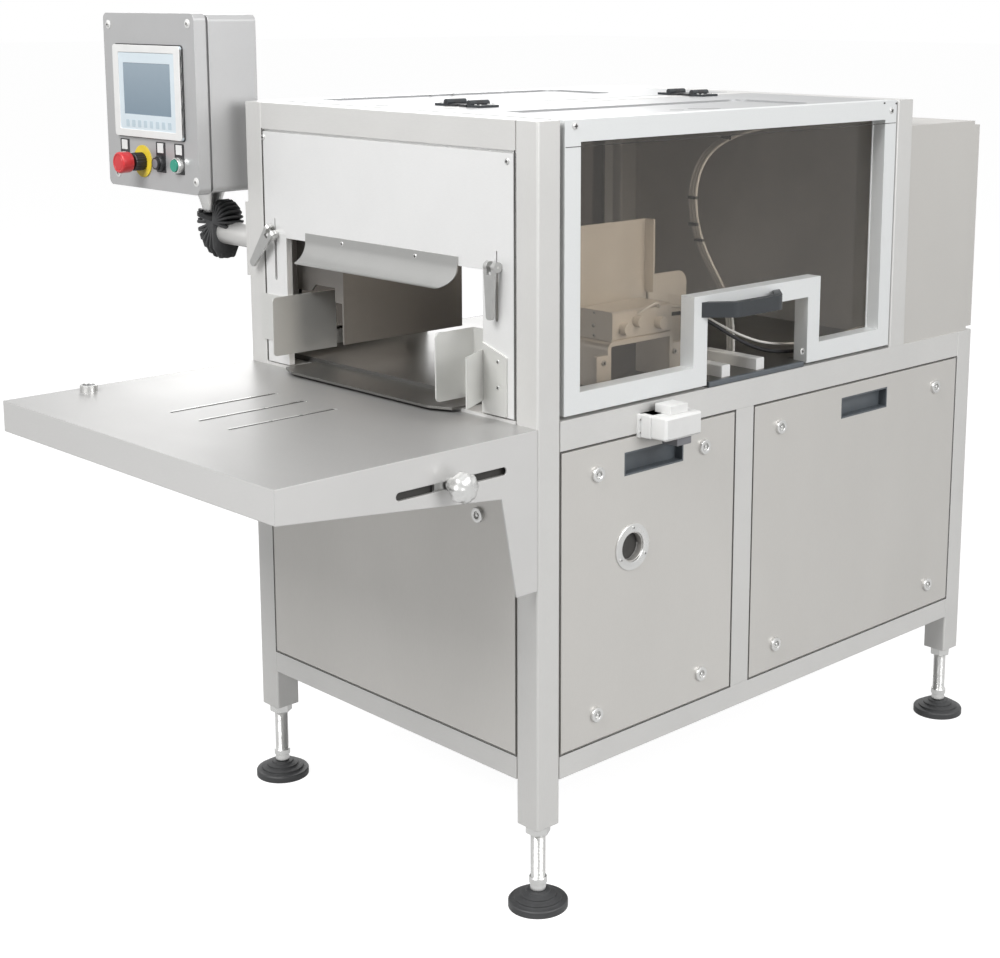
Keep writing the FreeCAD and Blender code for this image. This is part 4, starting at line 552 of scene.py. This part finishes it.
def makeConnector():
    form = bmesh.new()
    along, high = connector["middle"]
    turn = facing((384, along, high), rightward)
    for name, radius, bevel in (("flange", 3, 0.5), ("housing", 3, 0.8), ("hood", 4.5, connector["bevel"])):
        wide, tall, reach = connector[name]
        slab(form, turn, wide, tall, reach, radius, bevel)
    near, far = connector["blockReach"]
    capAlong, capHigh = connector["cap"]["middle"]
    slab(form, facing((384 + near, capAlong, capHigh), rightward), *connector["cap"]["size"], far - near, 2, 1)
    newPiece("hoodedConnector", form, "whitePlastic", "machine", "rail_connector")
    foot = bmesh.new()
    footAlong, footHigh = connector["foot"]["middle"]
    slab(foot, facing((384 + near, footAlong, footHigh), rightward), *connector["foot"]["size"], far - near, 2, 1)
    newPiece("connectorFoot", foot, "greyPlastic", "machine", "connector_gland")
    screws = bmesh.new()
    marks = bmesh.new()
    for along, high in connector["screws"]:
        screwHead(screws, marks, (384 + connector["flange"][2], along, high), rightward, 2.4, 1.4)
    newPiece("connectorScrews", screws, "turnedSteel", "machine")
    newPiece("connectorScrewRecesses", marks, "darkJointsAndPaintedShade", "machine")


clampKnob = {
    "place": (384.3, -179, 767), "lobes": 8, "lobeDepth": 1.6,
    "neck": [(11, 0), (11, 12), (10, 18), (10, 20)],
    "head": [(20, 19.6), (23, 20.6), (24, 23), (24, 33), (22.4, 37), (18, 41), (13, 43.2), (5, 43.7)],
}


def makeClampKnob():
    form = bmesh.new()
    turn = facing(clampKnob["place"], rightward)
    lathe(form, turn, clampKnob["neck"], 32)
    lobes, depth = clampKnob["lobes"], clampKnob["lobeDepth"]
    loft(form, [(lobed(radius, lobes, depth), raised(turn, height)) for radius, height in clampKnob["head"]])
    newPiece("lobedClampKnob", form, "turnedSteel", "knob", "clamp_knob")


makeFeet()
makePanelLocks()
makePort()
makeConnector()
makeClampKnob()
print("feet, locks, port, connector and knob made")

lidFace = -85       # the operator box's front, and the heights of its devices
deviceHigh = 1181
buttons = {
    "lampPlace": -657, "stopPlace": -595, "blackPlace": -533, "greenPlace": -471,
    "holder": (31, 56, 1.0), "holderHigh": 1192, "label": (20, 18, 0.6), "labelHigh": 1209,
    "lamp": [(14.5, 0), (14.5, 8), (14, 10.5), (12.4, 12.6), (9, 13.6), (3, 14)],
    "stop": [
        (8, 8), (8, 29), (16.5, 29.6), (18.6, 30.6), (19.4, 33), (20, 50), (19.6, 52), (18.4, 53.4), (16.6, 54),
        (15.2, 53.6), (14.6, 52.8), (13.6, 52.8), (13, 53.4), (4, 53.6),
    ],
    "collar": [(15, 2), (17, 3), (17, 22.6), (15.6, 24)],
    "blackRing": [(14.5, 0), (14.5, 5.4), (13.6, 8.4), (12.4, 9.4), (11.6, 9), (11.6, 0)],
    "clearRing": [(14.5, 0), (14.5, 9), (13.8, 10.8), (12.6, 11.4), (11.6, 10.8), (11.5, 0)],
    "capFace": [(8.6, 14), (8.6, 14.25), (8.2, 14.4)],
}


def makeButtons():
    holders = bmesh.new()
    labels = bmesh.new()
    for across in (buttons["lampPlace"], buttons["blackPlace"], buttons["greenPlace"]):
        slab(holders, facing((across, lidFace, buttons["holderHigh"]), frontward), *buttons["holder"], 1.5)
        onHolder = lidFace - buttons["holder"][2]
        slab(labels, facing((across, onHolder, buttons["labelHigh"]), frontward), *buttons["label"], 0.8, 0.15)
    newPiece("labelHolders", holders, "blackPlastic", "operator_panel")
    newPiece("bareLabels", labels, "whitePlastic", "operator_panel")

    turned = (
        ("lampDome", "lampPlace", "lamp", "lampPlastic", "operator_panel", ("pilot_lamp",), "caps"),
        ("stopHead", "stopPlace", "stop", "redPlastic", "emergency_stop", ("emergency_head",), "caps"),
        ("blackButtonRing", "blackPlace", "blackRing", "blackPlastic", "operator_panel", ("button_rings",), "ring"),
        ("brightButtonRing", "greenPlace", "clearRing", "turnedSteel", "operator_panel", (), "ring"),
        ("greyCapFace", "blackPlace", "capFace", "greyPlastic", "black_button", (), "caps"),
    )
    for name, across, profile, finish, body, stoodFor, closed in turned:
        form = bmesh.new()
        lathe(form, facing((buttons[across], lidFace, deviceHigh), frontward), buttons[profile], 48, closed)
        newPiece(name, form, finish, body, *stoodFor)

    collar = bmesh.new()
    turn = facing((buttons["stopPlace"], lidFace, deviceHigh), frontward)
    loft(collar, [(lobed(radius, 20, 1.1), raised(turn, height)) for radius, height in buttons["collar"]])
    newPiece("ridgedStopCollar", collar, "blackPlastic", "operator_panel", "emergency_collar")


touchPanel = {
    "middle": (-564, 1311), "outer": (228, 170, 6), "inner": (190, 142, 3), "border": 1.4,
    "gasket": (231.5, 173.5, 1.5), "keys": 8, "keyStart": -634, "keyPitch": 20.5, "keyHigh": 1251,
    "key": (11, 13, 0.35),
}


def makeTouchPanel():
    across, high = touchPanel["middle"]
    wide, tall, radius = touchPanel["outer"]
    innerWide, innerTall, innerRadius = touchPanel["inner"]
    thick = touchPanel["border"]
    turn = facing((across, lidFace - 6, high), frontward)
    border = bmesh.new()
    loft(border, [
        (rounded(wide, tall, radius), raised(turn, -5.4)), (rounded(wide, tall, radius), raised(turn, thick - 0.6)),
        (rounded(wide - 1.6, tall - 1.6, radius - 0.8), raised(turn, thick)),
        (rounded(innerWide + 1.6, innerTall + 1.6, innerRadius + 0.8), raised(turn, thick)),
        (rounded(innerWide, innerTall, innerRadius), raised(turn, thick - 0.8)),
        (rounded(innerWide, innerTall, innerRadius), raised(turn, -5.4)),
    ], "ring")
    newPiece("whitePanelBorder", border, "whitePlastic", "operator_panel")

    gasket = bmesh.new()
    slab(gasket, facing((across, lidFace, high), frontward), *touchPanel["gasket"], 7, 0.2)
    newPiece("panelGasket", gasket, "blackPlastic", "operator_panel")

    keys = bmesh.new()
    for index in range(touchPanel["keys"]):
        place = (touchPanel["keyStart"] + index * touchPanel["keyPitch"], lidFace - 6, touchPanel["keyHigh"])
        slab(keys, facing(place, frontward), *touchPanel["key"], 1.5, 0.1)
    newPiece("membraneKeys", keys, "keyPlastic", "operator_panel")


boxScrews = {"places": ((-700, 1432), (-430, 1436), (-686, 1153), (-419, 1154)), "washer": 8.2, "washerThick": 1.0}


def makeBoxScrews():
    washers = bmesh.new()
    screws = bmesh.new()
    marks = bmesh.new()
    radius, thick = boxScrews["washer"], boxScrews["washerThick"]
    for index, (across, high) in enumerate(boxScrews["places"]):
        turn = facing((across, lidFace, high), frontward)
        lathe(washers, turn, [(radius, 0), (radius, thick * 0.6), (radius - 0.6, thick)], 32)
        screwHead(screws, marks, (across, lidFace - thick, high), frontward, 4.6, 1.6, 25 * index)
    newPiece("boxScrewWashers", washers, "whitePlastic", "operator_panel")
    newPiece("boxScrews", screws, "satinSteel", "operator_panel")
    newPiece("boxScrewRecesses", marks, "darkJointsAndPaintedShade", "operator_panel")


neck = {
    "place": (-541, 25, 0),
    "horn": [(15, 1082), (17, 1090), (21, 1104), (26, 1118), (29, 1124), (33, 1125), (33, 1131.6)],
    "collar": [(34, 1126.8), (34.6, 1127.4), (34.6, 1130.6), (34, 1131.2)],
}


def makeNeck():
    horn = bmesh.new()
    lathe(horn, facing(neck["place"], upward), neck["horn"], 48)
    newPiece("neckHorn", horn, "turnedSteel", "machine", "neck_cone")
    collar = bmesh.new()
    lathe(collar, facing(neck["place"], upward), neck["collar"], 48)
    newPiece("neckSeal", collar, "blackRubber", "machine")


boot = {
    "axis": (-497, 25, 1067), "bend": 20, "core": 17, "leaves": 8, "first": -4, "last": 102, "thick": 5.2,
    "leaf": (
        (-42, -12), (-34, -22), (10, -30), (48, -30), (67, -18), (70, 0), (67, 17), (48, 27), (10, 27), (-34, 20),
        (-42, 12),
    ),
    "middle": 14, "tip": (10, 7, 12), "tipAt": 64,
}


def leafTurn(angle, out=0):
    # own X runs from the bend's axis outwards, own Z along the bend
    lean = math.radians(angle)
    outward = Vector((-math.sin(lean), 0, -math.cos(lean)))
    turn = Matrix((outward, Vector((0, 1, 0)), outward.cross(Vector((0, 1, 0))))).transposed().to_4x4()
    return Matrix.Translation(spot(*boot["axis"])) @ turn @ Matrix.Scale(0.001, 4) @ Matrix.Translation((out, 0, 0))


def makeBoot():
    form = bmesh.new()
    steps = 12
    loft(form, [(circle(boot["core"], 24), leafTurn(90 * step / steps, boot["bend"])) for step in range(steps + 1)])
    spread = (boot["last"] - boot["first"]) / (boot["leaves"] - 1)
    half = boot["thick"] / 2
    for index in range(boot["leaves"]):
        turn = leafTurn(boot["first"] + index * spread)
        middle = boot["middle"]
        slim = [(middle + (x - middle) * 0.97, y * 0.95) for x, y in boot["leaf"]]
        loft(form, [
            (slim, raised(turn, -half)), (boot["leaf"], raised(turn, -half * 0.5)),
            (boot["leaf"], raised(turn, half * 0.5)), (slim, raised(turn, half)),
        ])
        for side in (-12, 12):
            wide, tall, thick = boot["tip"]
            knob = raised(turn @ Matrix.Translation((boot["tipAt"], side, 0)), -thick / 2)
            slab(form, knob, wide, tall, thick * 0.75, 2.2, 1.2)
    newPiece("leafedArmBoot", form, "blackRubber", "machine", "arm_boot", crease=40)


makeButtons()
makeTouchPanel()
makeBoxScrews()
makeNeck()
makeBoot()
print("operator box and boot detailed")

hoodScrewPlaces = ((80, 1288), (916, 1279), (664, 855))
hoodTrim = {
    "face": 384, "jointHigh": 1256, "joint": (60, 931), "marks": ((893, 1294), (931, 1292)), "mark": (5, 3),
    "beadAt": 354.2, "beadWide": 4, "beadThick": 3.4,
    "beadRuns": (
        ((92, 863), (92, 1266)), ((92, 1266), (899, 1266)), ((899, 1266), (899, 863)),
        ((92, 863), (372, 863)), ((708, 863), (899, 863)),
    ),
    "roofSlots": (((313, 378), (327, 394)), ((308, 429), (345, 468))), "roof": 1298,
    "leafScrews": (182, 212, 760, 790), "leafAcross": (40, 52), "leafTop": 1302,
}


# Both hoods carry the same trim, mirrored.
def makeHoodTrim(side, body):
    name = body.split("_")[0]
    direction = (side, 0, 0)
    face = side * hoodTrim["face"]
    screws = bmesh.new()
    marks = bmesh.new()
    for index, (along, high) in enumerate(hoodScrewPlaces):
        screwHead(screws, marks, (face, along, high), direction, 6, 2.4, 30 * index)
    for across in hoodTrim["leafAcross"]:
        for along in hoodTrim["leafScrews"]:
            screwHead(screws, marks, (side * across, along, hoodTrim["leafTop"]), upward, 2.6, 1.2, 15)
    start, end = hoodTrim["joint"]
    seam(marks, (face, start, hoodTrim["jointHigh"]), (face, end, hoodTrim["jointHigh"]), direction, 1.2, 0.3)
    for along, high in hoodTrim["marks"]:
        slab(marks, facing((face, along, high), direction), *hoodTrim["mark"], 0.4, 0.8, 0.1)
    for slotStart, slotEnd in hoodTrim["roofSlots"]:
        seam(marks, (side * slotStart[0], slotStart[1], hoodTrim["roof"]),
             (side * slotEnd[0], slotEnd[1], hoodTrim["roof"]), upward, 2.4, 0.3)
    newPiece(f"{name}HoodScrews", screws, "turnedSteel", body)
    newPiece(f"{name}HoodMarks", marks, "darkJointsAndPaintedShade", body)

    bead = bmesh.new()
    beadAt = side * hoodTrim["beadAt"]
    for runStart, runEnd in hoodTrim["beadRuns"]:
        seam(bead, (beadAt, *runStart), (beadAt, *runEnd), direction, hoodTrim["beadWide"], hoodTrim["beadThick"])
    newPiece(f"{name}GlazingBead", bead, "anodised", body)


makeHoodTrim(1, "right_hood")
makeHoodTrim(-1, "left_hood")

smallScrews = (
    ((-329, 0, 1236), frontward, 5, 2.2), ((316, 0, 1234), frontward, 5, 2.2),
    ((-101, -2, 1065), frontward, 4.5, 2), ((95, -2, 1064), frontward, 4.5, 2),
    ((296, -2, 916), frontward, 4, 2), ((296, -2, 874), frontward, 4, 2),
    ((304, 227, 883), rightward, 5, 3), ((304, 404, 880), rightward, 5, 3),
    ((262, 248, 961), frontward, 2.6, 1.6), ((260, 248, 939), frontward, 3.4, 1.8),
    ((262, 248, 922), frontward, 3.4, 1.8), ((-476, 25, 1068), upward, 4, 3),
)
panelSeams = {
    "frontAcross": 334, "sideAlong": (50, 481, 531, 1175), "low": 262, "top": 775, "coverLow": 829, "coverTop": 1251,
    "roofSlots": (((-112, 86), (-99, 101)), ((-5, 84), (9, 100))), "roof": 1298,
}
tableMarks = {
    "slits": (-115, -33, 49), "slitFront": -343, "slitBack": -140, "top": 820, "rimShift": 2.8,
    "slotMiddle": (-172, 771), "slotShade": (262, 26, 1.2), "slotShadeAt": 371.5, "portShade": (24.2, 1.5),
    "portShadeDepth": 14,
}


def makeSmallParts():
    screws = bmesh.new()
    marks = bmesh.new()
    for index, (place, direction, radius, tall) in enumerate(smallScrews):
        screwHead(screws, marks, place, direction, radius, tall, 25 * index)
    across = panelSeams["frontAcross"]
    low, top = panelSeams["low"], panelSeams["top"]
    for side in (-1, 1):
        coverEnds = [(side * (across - 1), 0, panelSeams[end]) for end in ("coverLow", "coverTop")]
        seam(marks, *coverEnds, frontward, 2.8)
        seam(marks, (side * across, 0, low), (side * across, 0, top), frontward)
        face = side * 384
        for along in panelSeams["sideAlong"]:
            seam(marks, (face, along, low), (face, along, top), (side, 0, 0))
        for high in (low, top):
            seam(marks, (face, 50, high), (face, 481, high), (side, 0, 0))
            seam(marks, (face, 531, high), (face, 1175, high), (side, 0, 0))
    for high in (low, top):
        seam(marks, (-across, 0, high), (across, 0, high), frontward, 1.4)
    for start, end in panelSeams["roofSlots"]:
        seam(marks, (*start, panelSeams["roof"]), (*end, panelSeams["roof"]), upward, 2.4, 0.3)
    # a dark sheet behind the skirt's slot and a dark disc down the port's hole: painted shade inside them
    slotAlong, slotHigh = tableMarks["slotMiddle"]
    slotTurn = facing((tableMarks["slotShadeAt"], slotAlong, slotHigh), rightward)
    slab(marks, slotTurn, *tableMarks["slotShade"], 6, 0.2)
    portAcross, portAlong, portHigh = port["place"]
    radius, thick = tableMarks["portShade"]
    portTurn = facing((portAcross - tableMarks["portShadeDepth"], portAlong, portHigh), rightward)
    lathe(marks, portTurn, [(radius, 0), (radius, thick)])
    for slit in tableMarks["slits"]:
        front, back, top = tableMarks["slitFront"], tableMarks["slitBack"], tableMarks["top"]
        seam(marks, (slit, front, top), (slit, back, top), upward, 3.0, 0.25)
        beside = slit - tableMarks["rimShift"]
        seam(screws, (beside, front, top), (beside, back, top), upward, 2.4, 1.0)
        seam(screws, (beside, back, top), (beside + 7, back + 2, top), upward, 2.4, 1.0)
    newPiece("smallScrews", screws, "turnedSteel", "machine")
    newPiece("seamsAndPaintedShade", marks, "darkJointsAndPaintedShade", "machine")


sensor = {
    "place": (-350, -358, 830), "rim": [(15, 0), (15, 1.4), (14, 2), (11.4, 2), (11, 1.2), (11, 0)],
    "window": [(11, 0), (11, 0.7), (10.4, 0.9)],
}


def makeSensor():
    turn = facing(sensor["place"], upward)
    rim = bmesh.new()
    lathe(rim, turn, sensor["rim"], 40, "ring")
    newPiece("sensorRim", rim, "turnedSteel", "machine")
    window = bmesh.new()
    lathe(window, turn, sensor["window"], 40)
    newPiece("sensorWindow", window, "blackPlastic", "machine")


makeSmallParts()
makeSensor()
print("trim, seams and screws made")

# Hoses and cables held inside the guard, in the machine's millimetres.
airRoute = [
    (238, 938, 1259), (238, 862, 1259), (238, 786, 1256), (238, 708, 1250), (238, 632, 1240),
    (238, 572, 1221), (238, 536, 1190), (238, 521, 1148), (238, 524, 1104), (238, 538, 1062),
    (238, 562, 1020), (238, 592, 980), (238, 619, 938), (238, 638, 889), (238, 638, 835),
]
blackRoute = [
    (296, 396, 944), (296, 430, 944), (301, 466, 936), (308, 504, 916), (315, 544, 891), (321, 588, 868),
    (326, 636, 851), (331, 690, 843), (336, 750, 841), (340, 812, 843), (343, 875, 847), (343, 938, 847),
    (343, 988, 847),
]
whiteRoute = [
    (270, 396, 952), (270, 430, 952), (276, 468, 945), (285, 506, 927), (293, 545, 905), (300, 588, 884),
    (306, 634, 866), (311, 686, 855), (316, 744, 850), (321, 806, 851), (325, 866, 855), (328, 926, 861),
    (328, 988, 861),
]
jumperRoute = [(304, 309, 958), (312, 312, 962), (318, 330, 972), (316, 350, 974), (304, 362, 962)]
hoses = (
    ("airHoseInner", airRoute, -6.5, 3.0, "hosePlastic"), ("airHoseMiddle", airRoute, 0, 3.0, "hosePlastic"),
    ("airHoseOuter", airRoute, 6.5, 3.0, "hosePlastic"), ("notchCable", blackRoute, 0, 3.5, "blackPlastic"),
    ("notchHose", whiteRoute, 0, 2.5, "hosePlastic"), ("blockJumper", jumperRoute, 0, 2.2, "hosePlastic"),
)
hoseTies = ((522, 1134), (525, 1086), (542, 1056), (610, 1236), (760, 1255))


def makeHose(name, route, across, radius, finish):
    curve = bpy.data.curves.new(name, "CURVE")
    curve.dimensions = "3D"
    curve.bevel_depth = radius / 1000
    curve.bevel_resolution = 4
    curve.resolution_u = 8
    curve.use_fill_caps = True
    line = curve.splines.new("NURBS")
    line.points.add(len(route) - 1)
    for point, (x, y, z) in zip(line.points, route):
        point.co = (*spot(x + across, y, z), 1)
    line.order_u = 3
    line.use_endpoint_u = True
    curve.materials.append(finishes[finish])
    piece = bpy.data.objects.new(name, curve)
    bpy.context.scene.collection.objects.link(piece)
    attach(piece, "machine")


def makeTies():
    form = bmesh.new()
    for along, high in hoseTies:
        steep = high < 1200
        direction = upward if steep else (0, 1, 0)
        place = (238, along, high - 2.5) if steep else (238, along - 2.5, high)
        slab(form, facing(place, direction), 21, 8.5, 5, 3.5, 0.5)
    newPiece("hoseTies", form, "blackPlastic", "machine")


for name, route, across, radius, finish in hoses:
    makeHose(name, route, across, radius, finish)
makeTies()
print("hoses laid")


# The studio: a pale floor, soft lamps and the camera where the photograph was taken from.
studio = {
    "floor": 0.30, "floorLift": 0.92, "floorMirrored": 0.62, "sky": 0.22, "background": 1.0, "floorSize": 120.0,
    "lamps": (
        ("keyLamp", (0.6, -3.6, 3.9), 2.4, 215.0),
        ("sideLamp", (4.2, 0.4, 2.6), 2.4, 118.0),
        ("topLamp", (0.3, 0.6, 4.4), 2.6, 6.0),
        ("rearLamp", (-3.9, 2.9, 2.4), 2.6, 50.0),
    ),
}


# 1 for rays from the camera, a mirror or glass, and 0 for the rest.
def seenDirectly(tree):
    path = addNode(tree, "ShaderNodeLightPath")
    mirrored = combine(tree, "MAXIMUM", path.outputs["Is Camera Ray"], path.outputs["Is Glossy Ray"])
    return combine(tree, "MAXIMUM", mirrored, path.outputs["Is Transmission Ray"])


def makeWorld():
    world = bpy.data.worlds.new("paleRoom")
    bpy.context.scene.world = world
    world.use_nodes = True
    tree = world.node_tree
    tree.nodes.clear()
    light = addNode(tree, "ShaderNodeBackground")
    light.inputs["Color"].default_value = (1, 1, 1, 1)
    light.inputs["Strength"].default_value = studio["sky"]
    seen = addNode(tree, "ShaderNodeBackground")
    seen.inputs["Color"].default_value = (1, 1, 1, 1)
    seen.inputs["Strength"].default_value = studio["background"]
    mixer = addNode(tree, "ShaderNodeMixShader")
    tree.links.new(seenDirectly(tree), mixer.inputs["Fac"])
    tree.links.new(light.outputs[0], mixer.inputs[1])
    tree.links.new(seen.outputs[0], mixer.inputs[2])
    output = addNode(tree, "ShaderNodeOutputWorld")
    tree.links.new(mixer.outputs[0], output.inputs["Surface"])


def makeFloor():
    form = bmesh.new()
    half = studio["floorSize"] / 2
    corners = [form.verts.new((x, y, 0)) for x, y in ((-half, -half), (half, -half), (half, half), (-half, half))]
    form.faces.new(corners)
    mesh = bpy.data.meshes.new("studioFloor")
    form.to_mesh(mesh)
    form.free()
    floor = bpy.data.objects.new("studioFloor", mesh)
    bpy.context.scene.collection.objects.link(floor)
    material, tree, shader = newFinish("paleFloor")
    grey = studio["floor"]
    faint = tintBetween(tree, noise(tree, 0.8), (grey, grey, grey), (grey + 0.01, grey + 0.01, grey + 0.01))
    tree.links.new(faint, shader.inputs["Base Color"])
    shader.inputs["Roughness"].default_value = 0.9
    shader.inputs["Specular IOR Level"].default_value = 0.0
    shader.inputs["Emission Color"].default_value = (1, 1, 1, 1)
    path = addNode(tree, "ShaderNodeLightPath")
    seen = combine(tree, "MAXIMUM", path.outputs["Is Camera Ray"], path.outputs["Is Transmission Ray"])
    mirrored = combine(tree, "MULTIPLY", path.outputs["Is Glossy Ray"], studio["floorMirrored"])
    lift = combine(tree, "MULTIPLY", combine(tree, "MAXIMUM", seen, mirrored), studio["floorLift"])
    tree.links.new(lift, shader.inputs["Emission Strength"])
    shape = addNode(tree, "ShaderNodeNewGeometry")      # the floor is clear from beneath
    clear = addNode(tree, "ShaderNodeBsdfTransparent")
    mixer = addNode(tree, "ShaderNodeMixShader")
    tree.links.new(shape.outputs["Backfacing"], mixer.inputs["Fac"])
    tree.links.new(shader.outputs["BSDF"], mixer.inputs[1])
    tree.links.new(clear.outputs["BSDF"], mixer.inputs[2])
    tree.links.new(mixer.outputs["Shader"], tree.nodes["Material Output"].inputs["Surface"])
    mesh.materials.append(material)


def makeLamps():
    target = spot(0, 550, 800)
    for name, place, wide, power in studio["lamps"]:
        lamp = bpy.data.lights.new(name, "AREA")
        lamp.shape = "SQUARE"
        lamp.size = wide
        lamp.energy = power
        holder = bpy.data.objects.new(name, lamp)
        holder.location = place
        holder.rotation_euler = (target - Vector(place)).to_track_quat("-Z", "Y").to_euler()
        bpy.context.scene.collection.objects.link(holder)


photoCamera = {
    "place": (2.456, -2.228, 1.472), "turn": 45.171, "down": 10.729, "roll": 0.204,
    "focalPixels": 1765.1, "imageWidth": 1000, "sensor": 36.0, "shift": (-0.07, -0.14),
}


def makeCamera():
    lens = bpy.data.cameras.new("photoCamera")
    lens.sensor_width = photoCamera["sensor"]
    lens.lens = photoCamera["focalPixels"] * photoCamera["sensor"] / photoCamera["imageWidth"]
    lens.shift_x, lens.shift_y = photoCamera["shift"]
    lens.clip_start = 0.05
    lens.clip_end = 200
    camera = bpy.data.objects.new("photoCamera", lens)
    bpy.context.scene.collection.objects.link(camera)
    turn = Matrix.Rotation(math.radians(photoCamera["turn"]), 4, "Z")
    tilt = Matrix.Rotation(math.radians(90 - photoCamera["down"]), 4, "X")
    roll = Matrix.Rotation(math.radians(photoCamera["roll"]), 4, "Z")
    camera.matrix_world = Matrix.Translation(photoCamera["place"]) @ turn @ tilt @ roll
    bpy.context.scene.camera = camera


makeWorld()
makeFloor()
makeLamps()
makeCamera()
bpy.context.scene.view_settings.view_transform = "Standard"
print("studio set")
